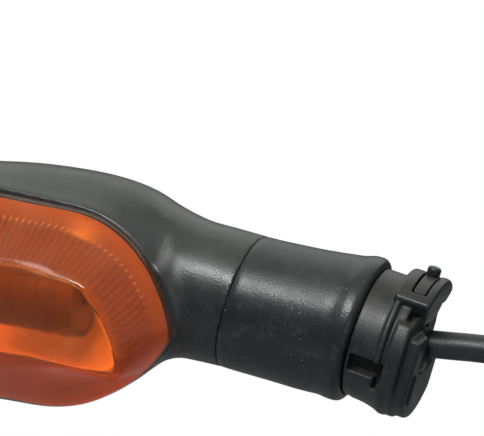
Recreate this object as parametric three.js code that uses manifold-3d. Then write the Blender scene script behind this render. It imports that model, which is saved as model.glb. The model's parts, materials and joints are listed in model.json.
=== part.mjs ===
// Motorcycle turn signal indicator: lamp head, flexible rubber stem, snap-in mounting base and lead.
// Millimetres, +Z up. The origin is the centre of the panel hole, on the stem lip's seat.
// +X runs inboard along the stem towards the lead, and the lens faces -Y.
import * as THREE from 'three';
import { mergeVertices } from 'three/addons/utils/BufferGeometryUtils.js';
import Module from 'manifold-3d';

const wasm = await Module();
wasm.setup();

// ---------------------------------------------------------------- driving dimensions
const GAP = 0.3; // clearance kept between touching pieces

// lamp head frame: x towards the stem, y towards the back, z up, on the lens rim's plane
const HEAD_CENTRE = new THREE.Vector3(-77.5, -15, -16.5);
const HEAD_DROOP = THREE.MathUtils.degToRad(10.5);
const RIM_MARGIN = 0.6; // housing edge outside the lens
const RIM_DEPTH = 5;
const RING_SIDES = 44;

// stem
const SEAM_X = -28.3;
const SEAM_Z = -3.05;
const STEM_R = 15.25;
const LIP_R = 16.4;
const LIP_THICKNESS = 3;
const SPIGOT_R = 10.5;
const HOUSING_SPIGOT_END_X = -20;
const BASE_SPIGOT_START_X = -8;
const WIRE_PASSAGE_R = 6.5;
const STEM_SIDES = 40;

// mounting base
const NECK_R = 14.4;
const FLANGE_R = 15.6;
const FLANGE_X = [8.5, 12];
const END_X = 14.6;
const END_R = 15;
const LATCH_R = 16.5;
const LATCH_X = [5.6, 14];
const TONGUE_X = [8.9, 11.7];
const TONGUE_R = [14.7, 16.3];
const CABLE_EXIT = new THREE.Vector3(14.3, 0, 2.1);
const CABLE_D = 6;

// bulb and socket, turned about a line along the head's x
const LAMP_AXIS = new THREE.Vector3(-8, 8, 0.8);
const BRACKET_X = 14;

// connector, hanging mouth down on the end of the lead
const CONNECTOR = { x: 63.5, top: -158, width: 14, depth: 10.5, length: 27 };

const MATERIALS = {
  shell: [0x3c403f, 0.55, 0],
  lens: [0xd9661a, 0.15, 0],
  rubber: [0x2b2d2e, 0.75, 0],
  nylon: [0x2e3132, 0.6, 0],
  chrome: [0xd8d8d8, 0.15, 1],
  steel: [0xa8a8a4, 0.35, 1],
  brass: [0xc09a4a, 0.35, 1],
  glass: [0xf0f0f0, 0.05, 0],
  tungsten: [0x6c6c70, 0.4, 1],
  insulator: [0x6b4a2c, 0.7, 0],
  liveWire: [0x2f4f9a, 0.5, 0],
  earthWire: [0x1f6b3a, 0.5, 0],
  cable: [0x24272a, 0.5, 0],
};

// ---------------------------------------------------------------- geometry helpers
function toSolid(geometry) {
  const bare = geometry.clone();
  bare.deleteAttribute('normal');
  bare.deleteAttribute('uv');
  const merged = mergeVertices(bare, 1e-4);
  const vertProperties = new Float32Array(merged.attributes.position.array);
  const index = Array.from(merged.index.array);
  const triVerts = [];
  let volume = 0;
  const a = new THREE.Vector3();
  const b = new THREE.Vector3();
  const c = new THREE.Vector3();
  for (let i = 0; i < index.length; i += 3) {
    const [p, q, r] = index.slice(i, i + 3);
    if (p === q || q === r || r === p) continue;
    a.fromArray(vertProperties, 3 * p);
    b.fromArray(vertProperties, 3 * q);
    c.fromArray(vertProperties, 3 * r);
    volume += a.dot(b.cross(c));
    triVerts.push(p, q, r);
  }
  if (volume < 0) triVerts.reverse();
  return new wasm.Manifold(
    new wasm.Mesh({ numProp: 3, vertProperties, triVerts: Uint32Array.from(triVerts) }),
  );
}

function toGeometry(solid) {
  const { vertProperties, triVerts } = solid.getMesh();
  const geometry = new THREE.BufferGeometry();
  geometry.setAttribute('position', new THREE.BufferAttribute(vertProperties, 3));
  geometry.setIndex(new THREE.BufferAttribute(triVerts, 1));
  geometry.computeVertexNormals();
  return geometry;
}

// a solid of revolution about X from [x, radius] pairs, moved to (0, y, z)
function turned(profile, y = 0, z = 0, sides = 28) {
  const points = profile.map(([x, r]) => new THREE.Vector2(r, x));
  const geometry = new THREE.LatheGeometry(points, sides);
  geometry.rotateZ(-Math.PI / 2);
  geometry.translate(0, y, z);
  return toSolid(geometry);
}

// the same about a line parallel to Y through (x, z), from [y, radius] pairs
function turnedAlongY(profile, x, z, sides = 16) {
  const points = profile.map(([y, r]) => new THREE.Vector2(r, y));
  return toSolid(new THREE.LatheGeometry(points, sides).translate(x, 0, z));
}

// the same about a line parallel to Z through (x, y), from [z, radius] pairs
function turnedAlongZ(profile, x, y, sides = 20) {
  const points = profile.map(([z, r]) => new THREE.Vector2(r, z));
  return toSolid(new THREE.LatheGeometry(points, sides).rotateX(Math.PI / 2).translate(x, y, 0));
}

function rod(x0, x1, radius, y = 0, z = 0, sides = 28) {
  return turned([[x0, 0], [x0, radius], [x1, radius], [x1, 0]], y, z, sides);
}

function block([x0, x1], [y0, y1], [z0, z1]) {
  const geometry = new THREE.BoxGeometry(x1 - x0, y1 - y0, z1 - z0);
  return toSolid(geometry.translate((x0 + x1) / 2, (y0 + y1) / 2, (z0 + z1) / 2));
}

const EXTRUDE_ALONG_X = new THREE.Matrix4().makeBasis(
  new THREE.Vector3(0, 1, 0),
  new THREE.Vector3(0, 0, 1),
  new THREE.Vector3(1, 0, 0),
);

// a rounded rectangle in Y and Z, extruded along X
function roundedPlate([x0, x1], [y0, y1], [z0, z1], radius) {
  const shape = new THREE.Shape();
  shape.moveTo(y0 + radius, z0);
  shape.lineTo(y1 - radius, z0);
  shape.absarc(y1 - radius, z0 + radius, radius, -Math.PI / 2, 0);
  shape.absarc(y1 - radius, z1 - radius, radius, 0, Math.PI / 2);
  shape.absarc(y0 + radius, z1 - radius, radius, Math.PI / 2, Math.PI);
  shape.absarc(y0 + radius, z0 + radius, radius, Math.PI, Math.PI * 1.5);
  const geometry = new THREE.ExtrudeGeometry(shape, {
    depth: x1 - x0,
    bevelEnabled: false,
    curveSegments: 6,
  });
  return toSolid(geometry.applyMatrix4(EXTRUDE_ALONG_X).translate(x0, 0, 0));
}

// part of a ring about X: radii, X range and angles from straight up, negative towards the front
function arcBlock([r0, r1], [x0, x1], [a0, a1], steps = 10) {
  const shape = new THREE.Shape();
  const turn = (degrees) => THREE.MathUtils.degToRad(90 - degrees);
  shape.absarc(0, 0, r1, turn(a0), turn(a1), true);
  shape.absarc(0, 0, r0, turn(a1), turn(a0), false);
  const geometry = new THREE.ExtrudeGeometry(shape, {
    depth: x1 - x0,
    bevelEnabled: false,
    curveSegments: steps,
  });
  return toSolid(geometry.applyMatrix4(EXTRUDE_ALONG_X).translate(x0, 0, 0));
}

// rings of equally many points, skinned in order and closed at both ends
function loft(rings) {
  const sides = rings[0].length;
  const positions = [];
  const index = [];
  rings.forEach((ring) => ring.forEach((p) => positions.push(p.x, p.y, p.z)));
  for (let k = 0; k + 1 < rings.length; k += 1) {
    for (let i = 0; i < sides; i += 1) {
      const a = k * sides + i;
      const b = k * sides + ((i + 1) % sides);
      index.push(a, b, a + sides, b, b + sides, a + sides);
    }
  }
  [0, rings.length - 1].forEach((k) => {
    const centre = rings[k].reduce((sum, p) => sum.add(p), new THREE.Vector3());
    centre.divideScalar(sides);
    const tip = positions.length / 3;
    positions.push(centre.x, centre.y, centre.z);
    for (let i = 0; i < sides; i += 1) {
      const a = k * sides + i;
      const b = k * sides + ((i + 1) % sides);
      if (k === 0) index.push(b, a, tip);
      else index.push(a, b, tip);
    }
  });
  const geometry = new THREE.BufferGeometry();
  geometry.setAttribute('position', new THREE.Float32BufferAttribute(positions, 3));
  geometry.setIndex(index);
  return toSolid(geometry);
}

// a round tube along a smooth curve through points
function tube(points, radius, steps, sides = 8, tension = 0.5) {
  const path = new THREE.CatmullRomCurve3(points, false, 'centripetal', tension);
  const section = new THREE.Shape().absarc(0, 0, radius, 0, 2 * Math.PI);
  const geometry = new THREE.ExtrudeGeometry(section, {
    steps,
    curveSegments: sides / 2,
    bevelEnabled: false,
    extrudePath: path,
  });
  return toSolid(geometry);
}

// a smooth function through [position, value] pairs
function through(pairs) {
  const curve = new THREE.CubicInterpolant(
    Float32Array.from(pairs.map((pair) => pair[0])),
    Float32Array.from(pairs.map((pair) => pair[1])),
    1,
  );
  return (position) => curve.evaluate(position)[0];
}

const group = new THREE.Group();
const head = new THREE.Group();
head.position.copy(HEAD_CENTRE);
head.rotation.y = -HEAD_DROOP;
group.add(head);
head.updateMatrix();
const headMatrix = head.matrix.clone();
const inHead = (x, y, z) => new THREE.Vector3(x, y, z).applyMatrix4(headMatrix);
const fromHead = (solid) => solid.transform(headMatrix.elements);
const lamp = new THREE.Group();
lamp.position.copy(LAMP_AXIS);
head.add(lamp);

function add(name, solid, look, parent = group) {
  const [color, roughness, metalness] = MATERIALS[look];
  const material = new THREE.MeshStandardMaterial({ color, roughness, metalness });
  const mesh = new THREE.Mesh(toGeometry(solid), material);
  mesh.name = name;
  parent.add(mesh);
}

// ---------------------------------------------------------------- lens outlines, in the head frame
// closed outlines in x and z, as the radius at each angle about the lens centre
function polarOutline(points) {
  const curve = new THREE.CatmullRomCurve3(
    points.map(([x, z]) => new THREE.Vector3(x, z, 0)),
    true,
    'centripetal',
  );
  const samples = curve.getPoints(600).slice(0, 600);
  const polar = samples.map((p) => [Math.atan2(p.y, p.x), Math.hypot(p.x, p.y)]);
  polar.sort((p, q) => p[0] - q[0]);
  return (angle) => {
    let next = polar.findIndex((p) => p[0] > angle);
    if (next < 0) next = 0;
    const last = (next + polar.length - 1) % polar.length;
    const span = polar[next][0] - polar[last][0];
    const full = span < 0 ? span + 2 * Math.PI : span;
    const past = angle - polar[last][0];
    const part = (past < 0 ? past + 2 * Math.PI : past) / full;
    return polar[last][1] + (polar[next][1] - polar[last][1]) * part;
  };
}

const lensOutline = polarOutline([
  [40, -1.8], [38.2, 5.2], [34, 12.2], [28.6, 17.9], [21, 21.7], [6, 23.2], [-10, 23.6],
  [-23, 21.6], [-32.5, 15], [-38.6, 5], [-40, -4], [-36, -13], [-27, -19.8], [-12, -22.6],
  [3, -22.6], [14, -22.2], [21.5, -20.2], [28.2, -16.4], [33.8, -11.6], [38, -6.2],
]);
const windowOutline = polarOutline([
  [34.2, -6.3], [33, -3.1], [30.3, 1.7], [27.2, 6.2], [23.3, 9.4], [13.7, 10], [0, 9.8],
  [-14.2, 10.5], [-22.3, 8.4], [-27.9, 2.3], [-30.7, -3.3], [-29.3, -7.5], [-21, -8.8], [-9.3, -8],
  [0, -7.5], [9.5, -8], [22.6, -8.8], [33.9, -9.5],
]);

// a ring between the lens outline (0) and the window outline (1), moved inwards by inset
function headRing(y, blend, inset = 0, scale = 1) {
  return Array.from({ length: RING_SIDES }, (_, i) => {
    const angle = (i / RING_SIDES) * 2 * Math.PI - Math.PI;
    const outer = lensOutline(angle);
    const radius = (outer + (windowOutline(angle) - outer) * blend - inset) * scale;
    return new THREE.Vector3(radius * Math.cos(angle), y, radius * Math.sin(angle));
  });
}

// ---------------------------------------------------------------- housing
const top = through([
  [-119, -17], [-116, -9], [-111, -0.6], [-103, 5.4], [-90, 9.8], [-76, 12.8], [-64, 14.2],
  [-56, 13.9], [-49, 12.3], [-42, 11.4], [-35, 11.8], [SEAM_X, SEAM_Z + STEM_R],
]);
const bottom = through([
  [-119, -26], [-114, -32], [-106, -38.6], [-95, -40.8], [-81, -39.6], [-66, -36.4],
  [-55, -31.6], [-48, -25.6], [-43.5, -21.2], [-39, -19.8], [-34, -19], [SEAM_X, SEAM_Z - STEM_R],
]);
const front = through([
  [-119, -17], [-112, -23], [-100, -27], [-70, -27], [-58, -23], [-50, -18.5], [-43, -15.8],
  [-36, -15.1], [SEAM_X, -STEM_R],
]);
const back = through([
  [-119, -4], [-115, 5], [-108, 12], [-98, 16.5], [-84, 19], [-68, 19], [-55, 17.6],
  [-45, 16.1], [-36, 15.4], [SEAM_X, STEM_R],
]);
const widestY = through([
  [-119, -10], [-105, -6.5], [-90, -5], [-70, -3], [-55, -1.6], [-42, -0.4], [SEAM_X, 0],
]);
const squareness = through([[-119, 2.2], [-100, 2.5], [-62, 2.5], [-42, 2.1], [SEAM_X, 2]]);
const STATIONS = [
  -119, -117.5, -114.5, -110, -104, -96, -87, -78, -70, -62, -55, -49, -44.5, -40, -34, SEAM_X,
];

// a four-quadrant superellipse across X, inset by a wall
function housingRing(x, wall = 0) {
  const middleY = widestY(x);
  const middleZ = (top(x) + bottom(x)) / 2;
  const halfHeight = (top(x) - bottom(x)) / 2 - wall;
  const power = 2 / squareness(x);
  return Array.from({ length: RING_SIDES }, (_, i) => {
    const angle = (i / RING_SIDES) * 2 * Math.PI;
    const c = Math.cos(angle);
    const s = Math.sin(angle);
    const depth = (c < 0 ? middleY - front(x) : back(x) - middleY) - wall;
    return new THREE.Vector3(
      x,
      middleY + Math.sign(c) * depth * Math.abs(c) ** power,
      middleZ + Math.sign(s) * halfHeight * Math.abs(s) ** power,
    );
  });
}

// the edge of the head widens backwards from the rim, and runs straight into the neck
function flareRing(y) {
  return Array.from({ length: RING_SIDES }, (_, i) => {
    const angle = (i / RING_SIDES) * 2 * Math.PI - Math.PI;
    const slope = 0.9 + 6 * Math.exp(-((angle / 0.45) ** 2));
    const radius = lensOutline(angle) + RIM_MARGIN + Math.max(y, 0) * slope;
    return new THREE.Vector3(radius * Math.cos(angle), y, radius * Math.sin(angle));
  });
}

const [screwX, screwZ] = [-32.2, -2.5]; // the lens screw's line
const cavityRings = [
  headRing(-1, 0, 4), headRing(8, 0, 5), headRing(16, 0, 5.5, 0.9), headRing(22, 0, 6, 0.76),
  headRing(26, 0, 7, 0.55), headRing(27.5, 0, 8, 0.3),
];

function makeHousing() {
  const behindRim = block([-130, 0], [HEAD_CENTRE.y, 40], [-60, 40]);
  const rim = fromHead(
    loft([headRing(0, 0, -RIM_MARGIN), headRing(RIM_DEPTH, 0, -RIM_MARGIN), headRing(14, 0, 2)]),
  );
  const neckFront = block([-37, 0], [-40, HEAD_CENTRE.y], [-60, 40]);
  const outer = loft(STATIONS.map((x) => housingRing(x))).intersect(fromHead(loft(
    [-0.5, 3, 8, 14, 40].map(flareRing),
  )));
  const shell = outer.intersect(behindRim).add(outer.intersect(neckFront)).add(rim);
  const neckHollow = loft([-47, -44, -40, -36, -32].map((x) => housingRing(x, 3.2)));
  const spigot = turned(
    [[-31, 0], [-31, SPIGOT_R], [HOUSING_SPIGOT_END_X - 3.5, SPIGOT_R],
      [HOUSING_SPIGOT_END_X - 3.3, SPIGOT_R + 0.8], [HOUSING_SPIGOT_END_X - 1.5, SPIGOT_R],
      [HOUSING_SPIGOT_END_X, SPIGOT_R - 0.6], [HOUSING_SPIGOT_END_X, 0]],
    0,
    SEAM_Z,
  );
  const wirePassage = rod(-50, HOUSING_SPIGOT_END_X + 1, WIRE_PASSAGE_R, 0, SEAM_Z, 32);
  const screwColumn = fromHead(turnedAlongY([[1, 0], [1, 3.3], [22, 3.3], [22, 0]], screwX, screwZ));
  const screwHole = fromHead(
    turnedAlongY([[-1, 0], [-1, 1.6], [8, 1.6], [8, 3.1], [40, 3.1], [40, 0]], screwX, screwZ),
  );
  const gasketGroove = fromHead(
    loft([headRing(-1, 0, 0.6), headRing(1.8, 0, 0.6)]).subtract(
      loft([headRing(-2, 0, 3.2), headRing(3, 0, 3.2)]),
    ),
  );
  return shell
    .subtract(fromHead(loft(cavityRings)))
    .subtract(neckHollow)
    .add(spigot)
    .subtract(wirePassage)
    .add(screwColumn)
    .subtract(screwHole)
    .subtract(gasketGroove);
}
add('rear_housing', makeHousing(), 'shell');

// ---------------------------------------------------------------- lens and its seal
const LENS_PROFILE = [
  // [y, blend towards the window, inset]
  [-0.3, 0, 0], [-2.4, 0, 0.22], [-4.6, 0.09, 0.3], [-8.4, 0.34, 0.3], [-12.2, 0.59, 0.3],
  [-14.6, 0.75, 0.3], [-15.3, 0.82, 0.28], [-15.7, 0.88, 0.2], [-15.95, 0.94, 0.1], [-16.05, 1, 0],
];
const LENS_WALL = 2;

function makeLens() {
  const bulge = [[-16.25, 1, 0, 0.75], [-16.4, 1, 0, 0.4]];
  const outer = loft([
    ...LENS_PROFILE.map(([y, blend, inset]) => headRing(y, blend, inset)),
    ...bulge.map(([y, blend, inset, scale]) => headRing(y, blend, inset, scale)),
  ]);
  const inner = loft([
    headRing(1, 0, LENS_WALL),
    ...LENS_PROFILE.map(([y, blend, inset]) => headRing(y + LENS_WALL, blend, inset + LENS_WALL)),
    ...bulge.map(([y, blend, inset, scale]) => headRing(y + LENS_WALL, blend, LENS_WALL, scale)),
  ]);
  const post = turnedAlongY([[-6.5, 0], [-6.5, 2.6], [0.6, 2.6], [0.6, 0]], screwX, screwZ);
  const pilot = turnedAlongY([[-4.5, 0], [-4.5, 1.3], [2, 1.3], [2, 0]], screwX, screwZ);
  return outer.subtract(inner).add(post).subtract(pilot);
}
add('lens', makeLens(), 'lens', head);

const GASKET_INSET = [0.9, 2.9];
add(
  'lens_gasket',
  loft([headRing(0.1, 0, GASKET_INSET[0]), headRing(1.5, 0, GASKET_INSET[0])]).subtract(
    loft([headRing(-1, 0, GASKET_INSET[1]), headRing(3, 0, GASKET_INSET[1])]),
  ),
  'rubber',
  head,
);

add(
  'lens_screw',
  turnedAlongY([[-3.8, 0], [-3.8, 0.6], [-3, 1.05], [9.5, 1.05], [9.5, 2.7], [11, 2.4],
    [11.6, 1.2], [11.6, 0]], screwX, screwZ),
  'steel',
  head,
);
add(
  'screw_seal',
  turnedAlongY([[8.3, 1.4], [9.2, 1.4], [9.2, 2.8], [8.3, 2.8], [8.3, 1.4]], screwX, screwZ),
  'rubber',
  head,
);

// ---------------------------------------------------------------- reflector
function makeReflector() {
  const rings = (inset, deeper) => [
    headRing(0.6, 0, 4.4 + inset), headRing(8, 0, 5.4 + inset),
    headRing(15.5 + deeper, 0, 6 + inset, 0.9), headRing(21 + deeper, 0, 6.6 + inset, 0.76),
    headRing(24.6 + deeper, 0, 7.6 + inset, 0.52),
  ];
  const outer = loft(rings(0, 0));
  const inner = loft([headRing(-1, 0, 5.6), ...rings(1.2, -1.3)]);
  const screwNotch = turnedAlongY([[-3, 0], [-3, 4.2], [30, 4.2], [30, 0]], screwX, screwZ);
  const wireHole = rod(24, 46, 5, 11, 2, 24);
  const bracketHole = turnedAlongY(
    [[18, 0], [18, 1.4], [30, 1.4], [30, 0]], LAMP_AXIS.x + BRACKET_X, LAMP_AXIS.z,
  );
  return outer.subtract(inner).subtract(screwNotch).subtract(wireHole).subtract(bracketHole);
}
add('reflector', makeReflector(), 'chrome', head);

// ---------------------------------------------------------------- bulb, about the lamp's own X
function makeBulbGlass() {
  const outer = [];
  const inner = [];
  const globe = { x: -9.5, outer: 9.4, inner: 8.6, sweep: 0.74 * Math.PI };
  const steps = 7;
  for (let i = 0; i <= steps; i += 1) {
    const angle = Math.PI - (i / steps) * globe.sweep;
    const along = Math.cos(angle);
    const across = Math.sin(angle);
    outer.push([globe.x + globe.outer * along, globe.outer * across]);
    inner.push([globe.x + globe.inner * along, globe.inner * across]);
  }
  outer[0][1] = 0;
  inner[0][1] = 0;
  const neck = [[0.5, 6.2], [6.5, 6.2], [6.5, 5.4], [0.2, 5.4]];
  return turned([...outer, ...neck, ...inner.reverse()]);
}
add('bulb_glass', makeBulbGlass(), 'glass', lamp);

const CAP = { start: 2.2, end: 16.2, r: 7.4 };
function makeBulbCap() {
  const cup = turned([
    [CAP.start, 6.6], [CAP.start, CAP.r], [15.4, CAP.r], [CAP.end, CAP.r - 0.8], [CAP.end, 2.3],
    [12, 2.3], [12, 6.6], [CAP.start, 6.6],
  ]);
  const pin = turnedAlongZ([[-8.5, 0], [-8.5, 1], [-7, 1], [-7, 0]], 9, 0, 12);
  const pins = pin.add(pin.translate([0, 0, 15.5]));
  return cup.add(pins);
}
add('bulb_cap', makeBulbCap(), 'brass', lamp);
add(
  'bulb_contact',
  turned([[11, 0], [11, 1.9], [16.3, 1.9], [17, 1.4], [17.3, 0]], 0, 0, 16),
  'steel',
  lamp,
);

function makeFilament() {
  const at = (x, y, z) => new THREE.Vector3(x, y, z);
  const points = [at(9, -2, 0), at(2, -2.2, 0), at(-7, -3.2, 0)];
  for (let i = 1; i < 12; i += 1) {
    points.push(at(-8.4 + (i % 2) * 0.9, -3.2 + (6.4 * i) / 12, (i % 2) * 0.8 - 0.4));
  }
  points.push(at(-7, 3.2, 0), at(2, 2.2, 0), at(9, 2, 0));
  return tube(points, 0.28, 40, 5);
}
add('bulb_filament', makeFilament(), 'tungsten', lamp);

// ---------------------------------------------------------------- socket
const SOCKET = { start: 3, end: 24.5, inner: 7.9, outer: 8.7 };
function makeSocketShell() {
  const sleeve = turned([
    [SOCKET.start, SOCKET.inner], [SOCKET.start, SOCKET.outer], [SOCKET.end, SOCKET.outer],
    [SOCKET.end, SOCKET.inner], [SOCKET.start, SOCKET.inner],
  ]);
  const slot = block([1, 13.5], [-1.4, 1.4], [-12, 12]);
  const hook = block([10.7, 13.5], [-1.4, 4.5], [-12, 12]);
  return sleeve.subtract(slot.add(hook));
}
add('socket_shell', makeSocketShell(), 'steel', lamp);
add(
  'socket_insulator',
  turned([[22.3, 1.4], [22.3, 7.5], [24.2, 7.5], [24.2, 1.4], [22.3, 1.4]]),
  'insulator',
  lamp,
);
add(
  'contact_plunger',
  turned([[17.7, 0], [17.7, 2.4], [18.5, 3], [19, 3], [19, 0.9], [23.4, 0.9], [23.4, 0]], 0, 0, 16),
  'brass',
  lamp,
);

function makeContactSpring() {
  const coil = { start: 19.6, length: 2.1, radius: 1.9, wire: 0.24, turns: 3 };
  const steps = coil.turns * 10;
  const points = Array.from({ length: steps + 1 }, (_, i) => {
    const angle = (i / steps) * coil.turns * 2 * Math.PI;
    return new THREE.Vector3(
      coil.start + (coil.length * i) / steps,
      coil.radius * Math.cos(angle),
      coil.radius * Math.sin(angle),
    );
  });
  return tube(points, coil.wire, 36, 5);
}
add('contact_spring', makeContactSpring(), 'steel', lamp);

function makeBracket() {
  const saddle = block([8, 20], [9.1, 10.3], [-5, 5]);
  const leg = block([BRACKET_X - 2.5, BRACKET_X + 2.5], [10.1, 14.4], [-3, 3]);
  const hole = turnedAlongY([[11, 0], [11, 1.2], [30, 1.2], [30, 0]], BRACKET_X, 0);
  return saddle.add(leg).subtract(hole);
}
add('socket_bracket', makeBracket(), 'steel', lamp);
add(
  'bracket_rivet',
  turnedAlongY([[11.6, 0], [11.6, 0.9], [17, 0.9], [17, 2], [17.8, 1.2], [17.8, 0]], BRACKET_X, 0),
  'steel',
  lamp,
);

// ---------------------------------------------------------------- flexible stem
function makeStem() {
  const sections = [
    [SEAM_X + GAP, STEM_R, SEAM_Z], [-24, STEM_R + 0.05, -2.75], [-20, 15.4, -2.35],
    [-15, 15.55, -1.85], [-11, 15.75, -1.4], [-7.5, 15.9, -0.9], [-5.5, 15.98, -0.6],
    [-LIP_THICKNESS - 1, 16.2, -0.35], [-LIP_THICKNESS, LIP_R, -0.2], [0, LIP_R, 0],
  ];
  const rings = sections.map(([x, radius, z]) =>
    Array.from({ length: STEM_SIDES }, (_, i) => {
      const angle = (i / STEM_SIDES) * 2 * Math.PI;
      return new THREE.Vector3(x, radius * Math.cos(angle), z + radius * Math.sin(angle));
    }),
  );
  const outerEnd = HOUSING_SPIGOT_END_X;
  const bore = turned(
    [[-30, 0], [-30, SPIGOT_R + GAP], [outerEnd - 4, SPIGOT_R + GAP],
      [outerEnd - 3.7, SPIGOT_R + 1.2], [outerEnd - 0.8, SPIGOT_R + 0.4],
      [outerEnd + GAP, SPIGOT_R], [outerEnd + GAP, WIRE_PASSAGE_R], [-14, WIRE_PASSAGE_R],
      [-14, 0]],
    0,
    SEAM_Z,
  );
  const innerBore = turned(
    [[-15, 0], [-15, WIRE_PASSAGE_R], [BASE_SPIGOT_START_X - GAP, WIRE_PASSAGE_R],
      [BASE_SPIGOT_START_X - GAP, SPIGOT_R + GAP], [2, SPIGOT_R + GAP], [2, 0]],
    0,
    -1,
  );
  const neckSeat = rod(-GAP, 1, NECK_R + GAP, 0, 0, 48);
  return loft(rings).subtract(bore).subtract(innerBore).subtract(neckSeat);
}
add('flexible_stem', makeStem(), 'rubber');

// ---------------------------------------------------------------- mounting base
function makeBase() {
  const spigot = turned(
    [[BASE_SPIGOT_START_X, 0], [BASE_SPIGOT_START_X, SPIGOT_R], [2, SPIGOT_R], [2, 0]], 0, -1,
  );
  const neck = turned([[0, 0], [0, NECK_R], [10, NECK_R], [10, 0]], 0, 0, 48);
  const flange = turned(
    [[FLANGE_X[0], 0], [FLANGE_X[0], FLANGE_R - 0.5], [FLANGE_X[0] + 0.5, FLANGE_R],
      [FLANGE_X[1] - 0.5, FLANGE_R], [FLANGE_X[1], FLANGE_R - 0.5], [FLANGE_X[1], 0]],
    0, 0, 48,
  );
  const flangeTrim = block([FLANGE_X[0] - 1, FLANGE_X[1] + 1], [-18, 18], [8, 18]);
  const farFlat = block([FLANGE_X[0] - 1, 16], [11, 18], [-18, 8]);
  const endDisc = rod(FLANGE_X[1] - 1, END_X, END_R, 0, 0, 48);
  const endPlate = endDisc.intersect(block([0, 20], [-13, 11], [-16, 9]))
    .subtract(block([12.2, 20], [-20, 20], [5.2, 20]));
  const lowerFillet = turned(
    [[2.5, 0], [2.5, NECK_R], [5, NECK_R + 0.3], [9, NECK_R + 1.2], [9, 0]], 0, 0, 48,
  ).intersect(block([0, 20], [-20, 20], [-20, -7]));
  const latchBlock = arcBlock([12, LATCH_R], LATCH_X, [-41, 41], 16);
  const latchWeb = block([LATCH_X[0], 13.4], [-7, 7], [6, 13]);
  const sideChamfer = block([0, 6], [-20, 20], [-9, 9]).rotate([0, 14, 0]).translate([13.4, 0, 11]);
  const frontRib = arcBlock([13, 15.6], [6.2, 7.6], [-100, -38], 16);
  const backRib = arcBlock([13, 15.6], [6.2, 7.6], [38, 100], 16);
  const endRidge = block([14, 15.2], [-9.6, -8.8], [-10, -3]);
  const keySlot = block([0.9, 8.3], [-20, -9.5], [-5.6, -1.6])
    .add(block([6.8, 8.3], [-20, -9.5], [-8, -1.6]));
  const cableRecess = roundedPlate([13, 20], [-6, 6], [-4, 8.5], 3);
  const passage = turned(
    [[-20, 0], [-20, WIRE_PASSAGE_R - 0.5], [5, WIRE_PASSAGE_R - 0.5], [5, 5], [20, 5], [20, 0]],
    0, 1.2, 32,
  );
  const tongueSlot = arcBlock(
    [TONGUE_R[0] - 1.8, LATCH_R + 3], [TONGUE_X[0] - GAP, TONGUE_X[1] + GAP], [-31, 22], 8,
  );
  return spigot
    .add(neck)
    .add(flange.subtract(flangeTrim))
    .add(lowerFillet)
    .add(endPlate)
    .subtract(farFlat)
    .add(latchBlock.add(latchWeb).subtract(sideChamfer))
    .add(frontRib)
    .add(backRib)
    .add(endRidge)
    .subtract(keySlot)
    .subtract(cableRecess)
    .subtract(passage)
    .subtract(tongueSlot);
}
add('mounting_base', makeBase(), 'nylon');

add('latch_tongue', arcBlock(TONGUE_R, TONGUE_X, [-29.8, 13], 7), 'nylon');
add(
  'latch_pin',
  turnedAlongZ([[16.7, 0], [16.7, 1.5], [17.6, 1.5], [18.1, 1.1], [18.3, 0]], 10.3, 1.2, 20),
  'rubber',
);
add(
  'cable_grommet',
  turned([[6, 0], [6, 4.2], [9, 4.6], [10.5, 4.6], [10.5, 4.2], [13.2, 3.6], [13.2, 0]], 0, 1.6, 24),
  'rubber',
);

// ---------------------------------------------------------------- wires through the stem
function wire(side, startX, startY, startZ) {
  return tube(
    [
      inHead(startX, startY, startZ), inHead(29, 10 + side, 1.5), inHead(36, 12.5 + side, 4),
      new THREE.Vector3(-36, side, SEAM_Z - 0.5), new THREE.Vector3(-28, side, SEAM_Z),
      new THREE.Vector3(-20, side, -2.6), new THREE.Vector3(-12, side, -1.6),
      new THREE.Vector3(-4, side, -0.2), new THREE.Vector3(5.5, side, 1.2),
    ],
    0.8,
    26,
    6,
  );
}
const socketBack = LAMP_AXIS.x + SOCKET.end + 0.6;
add('live_wire', wire(-1.6, socketBack, LAMP_AXIS.y - 1, LAMP_AXIS.z + 1), 'liveWire');
add('earth_wire', wire(1.6, socketBack, LAMP_AXIS.y + 3, LAMP_AXIS.z + 1), 'earthWire');

// ---------------------------------------------------------------- lead
// straight out of the base, over in one bend and down under its own weight
const CABLE_ROUTE = [
  CABLE_EXIT, [18.6, 0, 3.2], [23.6, 0, 4.5], [29, 0.2, 5.6], [34.5, 0.5, 5.9], [40, 0.9, 5.1],
  [45.4, 1.3, 3.1], [50.4, 1.7, -0.3], [54.8, 2, -5], [58.3, 2.2, -11], [60.9, 2.3, -18],
  [62.5, 2.3, -26], [63.3, 2.2, -36], [63.6, 1.8, -50], [63.7, 1.3, -66], [63.7, 0.8, -84],
  [63.6, 0.4, -102], [63.5, 0.1, -120], [63.5, 0, -136], [63.5, 0, CONNECTOR.top + 8.3],
].map((p) => (p.isVector3 ? p : new THREE.Vector3(...p)));
add('cable', tube(CABLE_ROUTE, CABLE_D / 2, 40, 10), 'cable');

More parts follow.
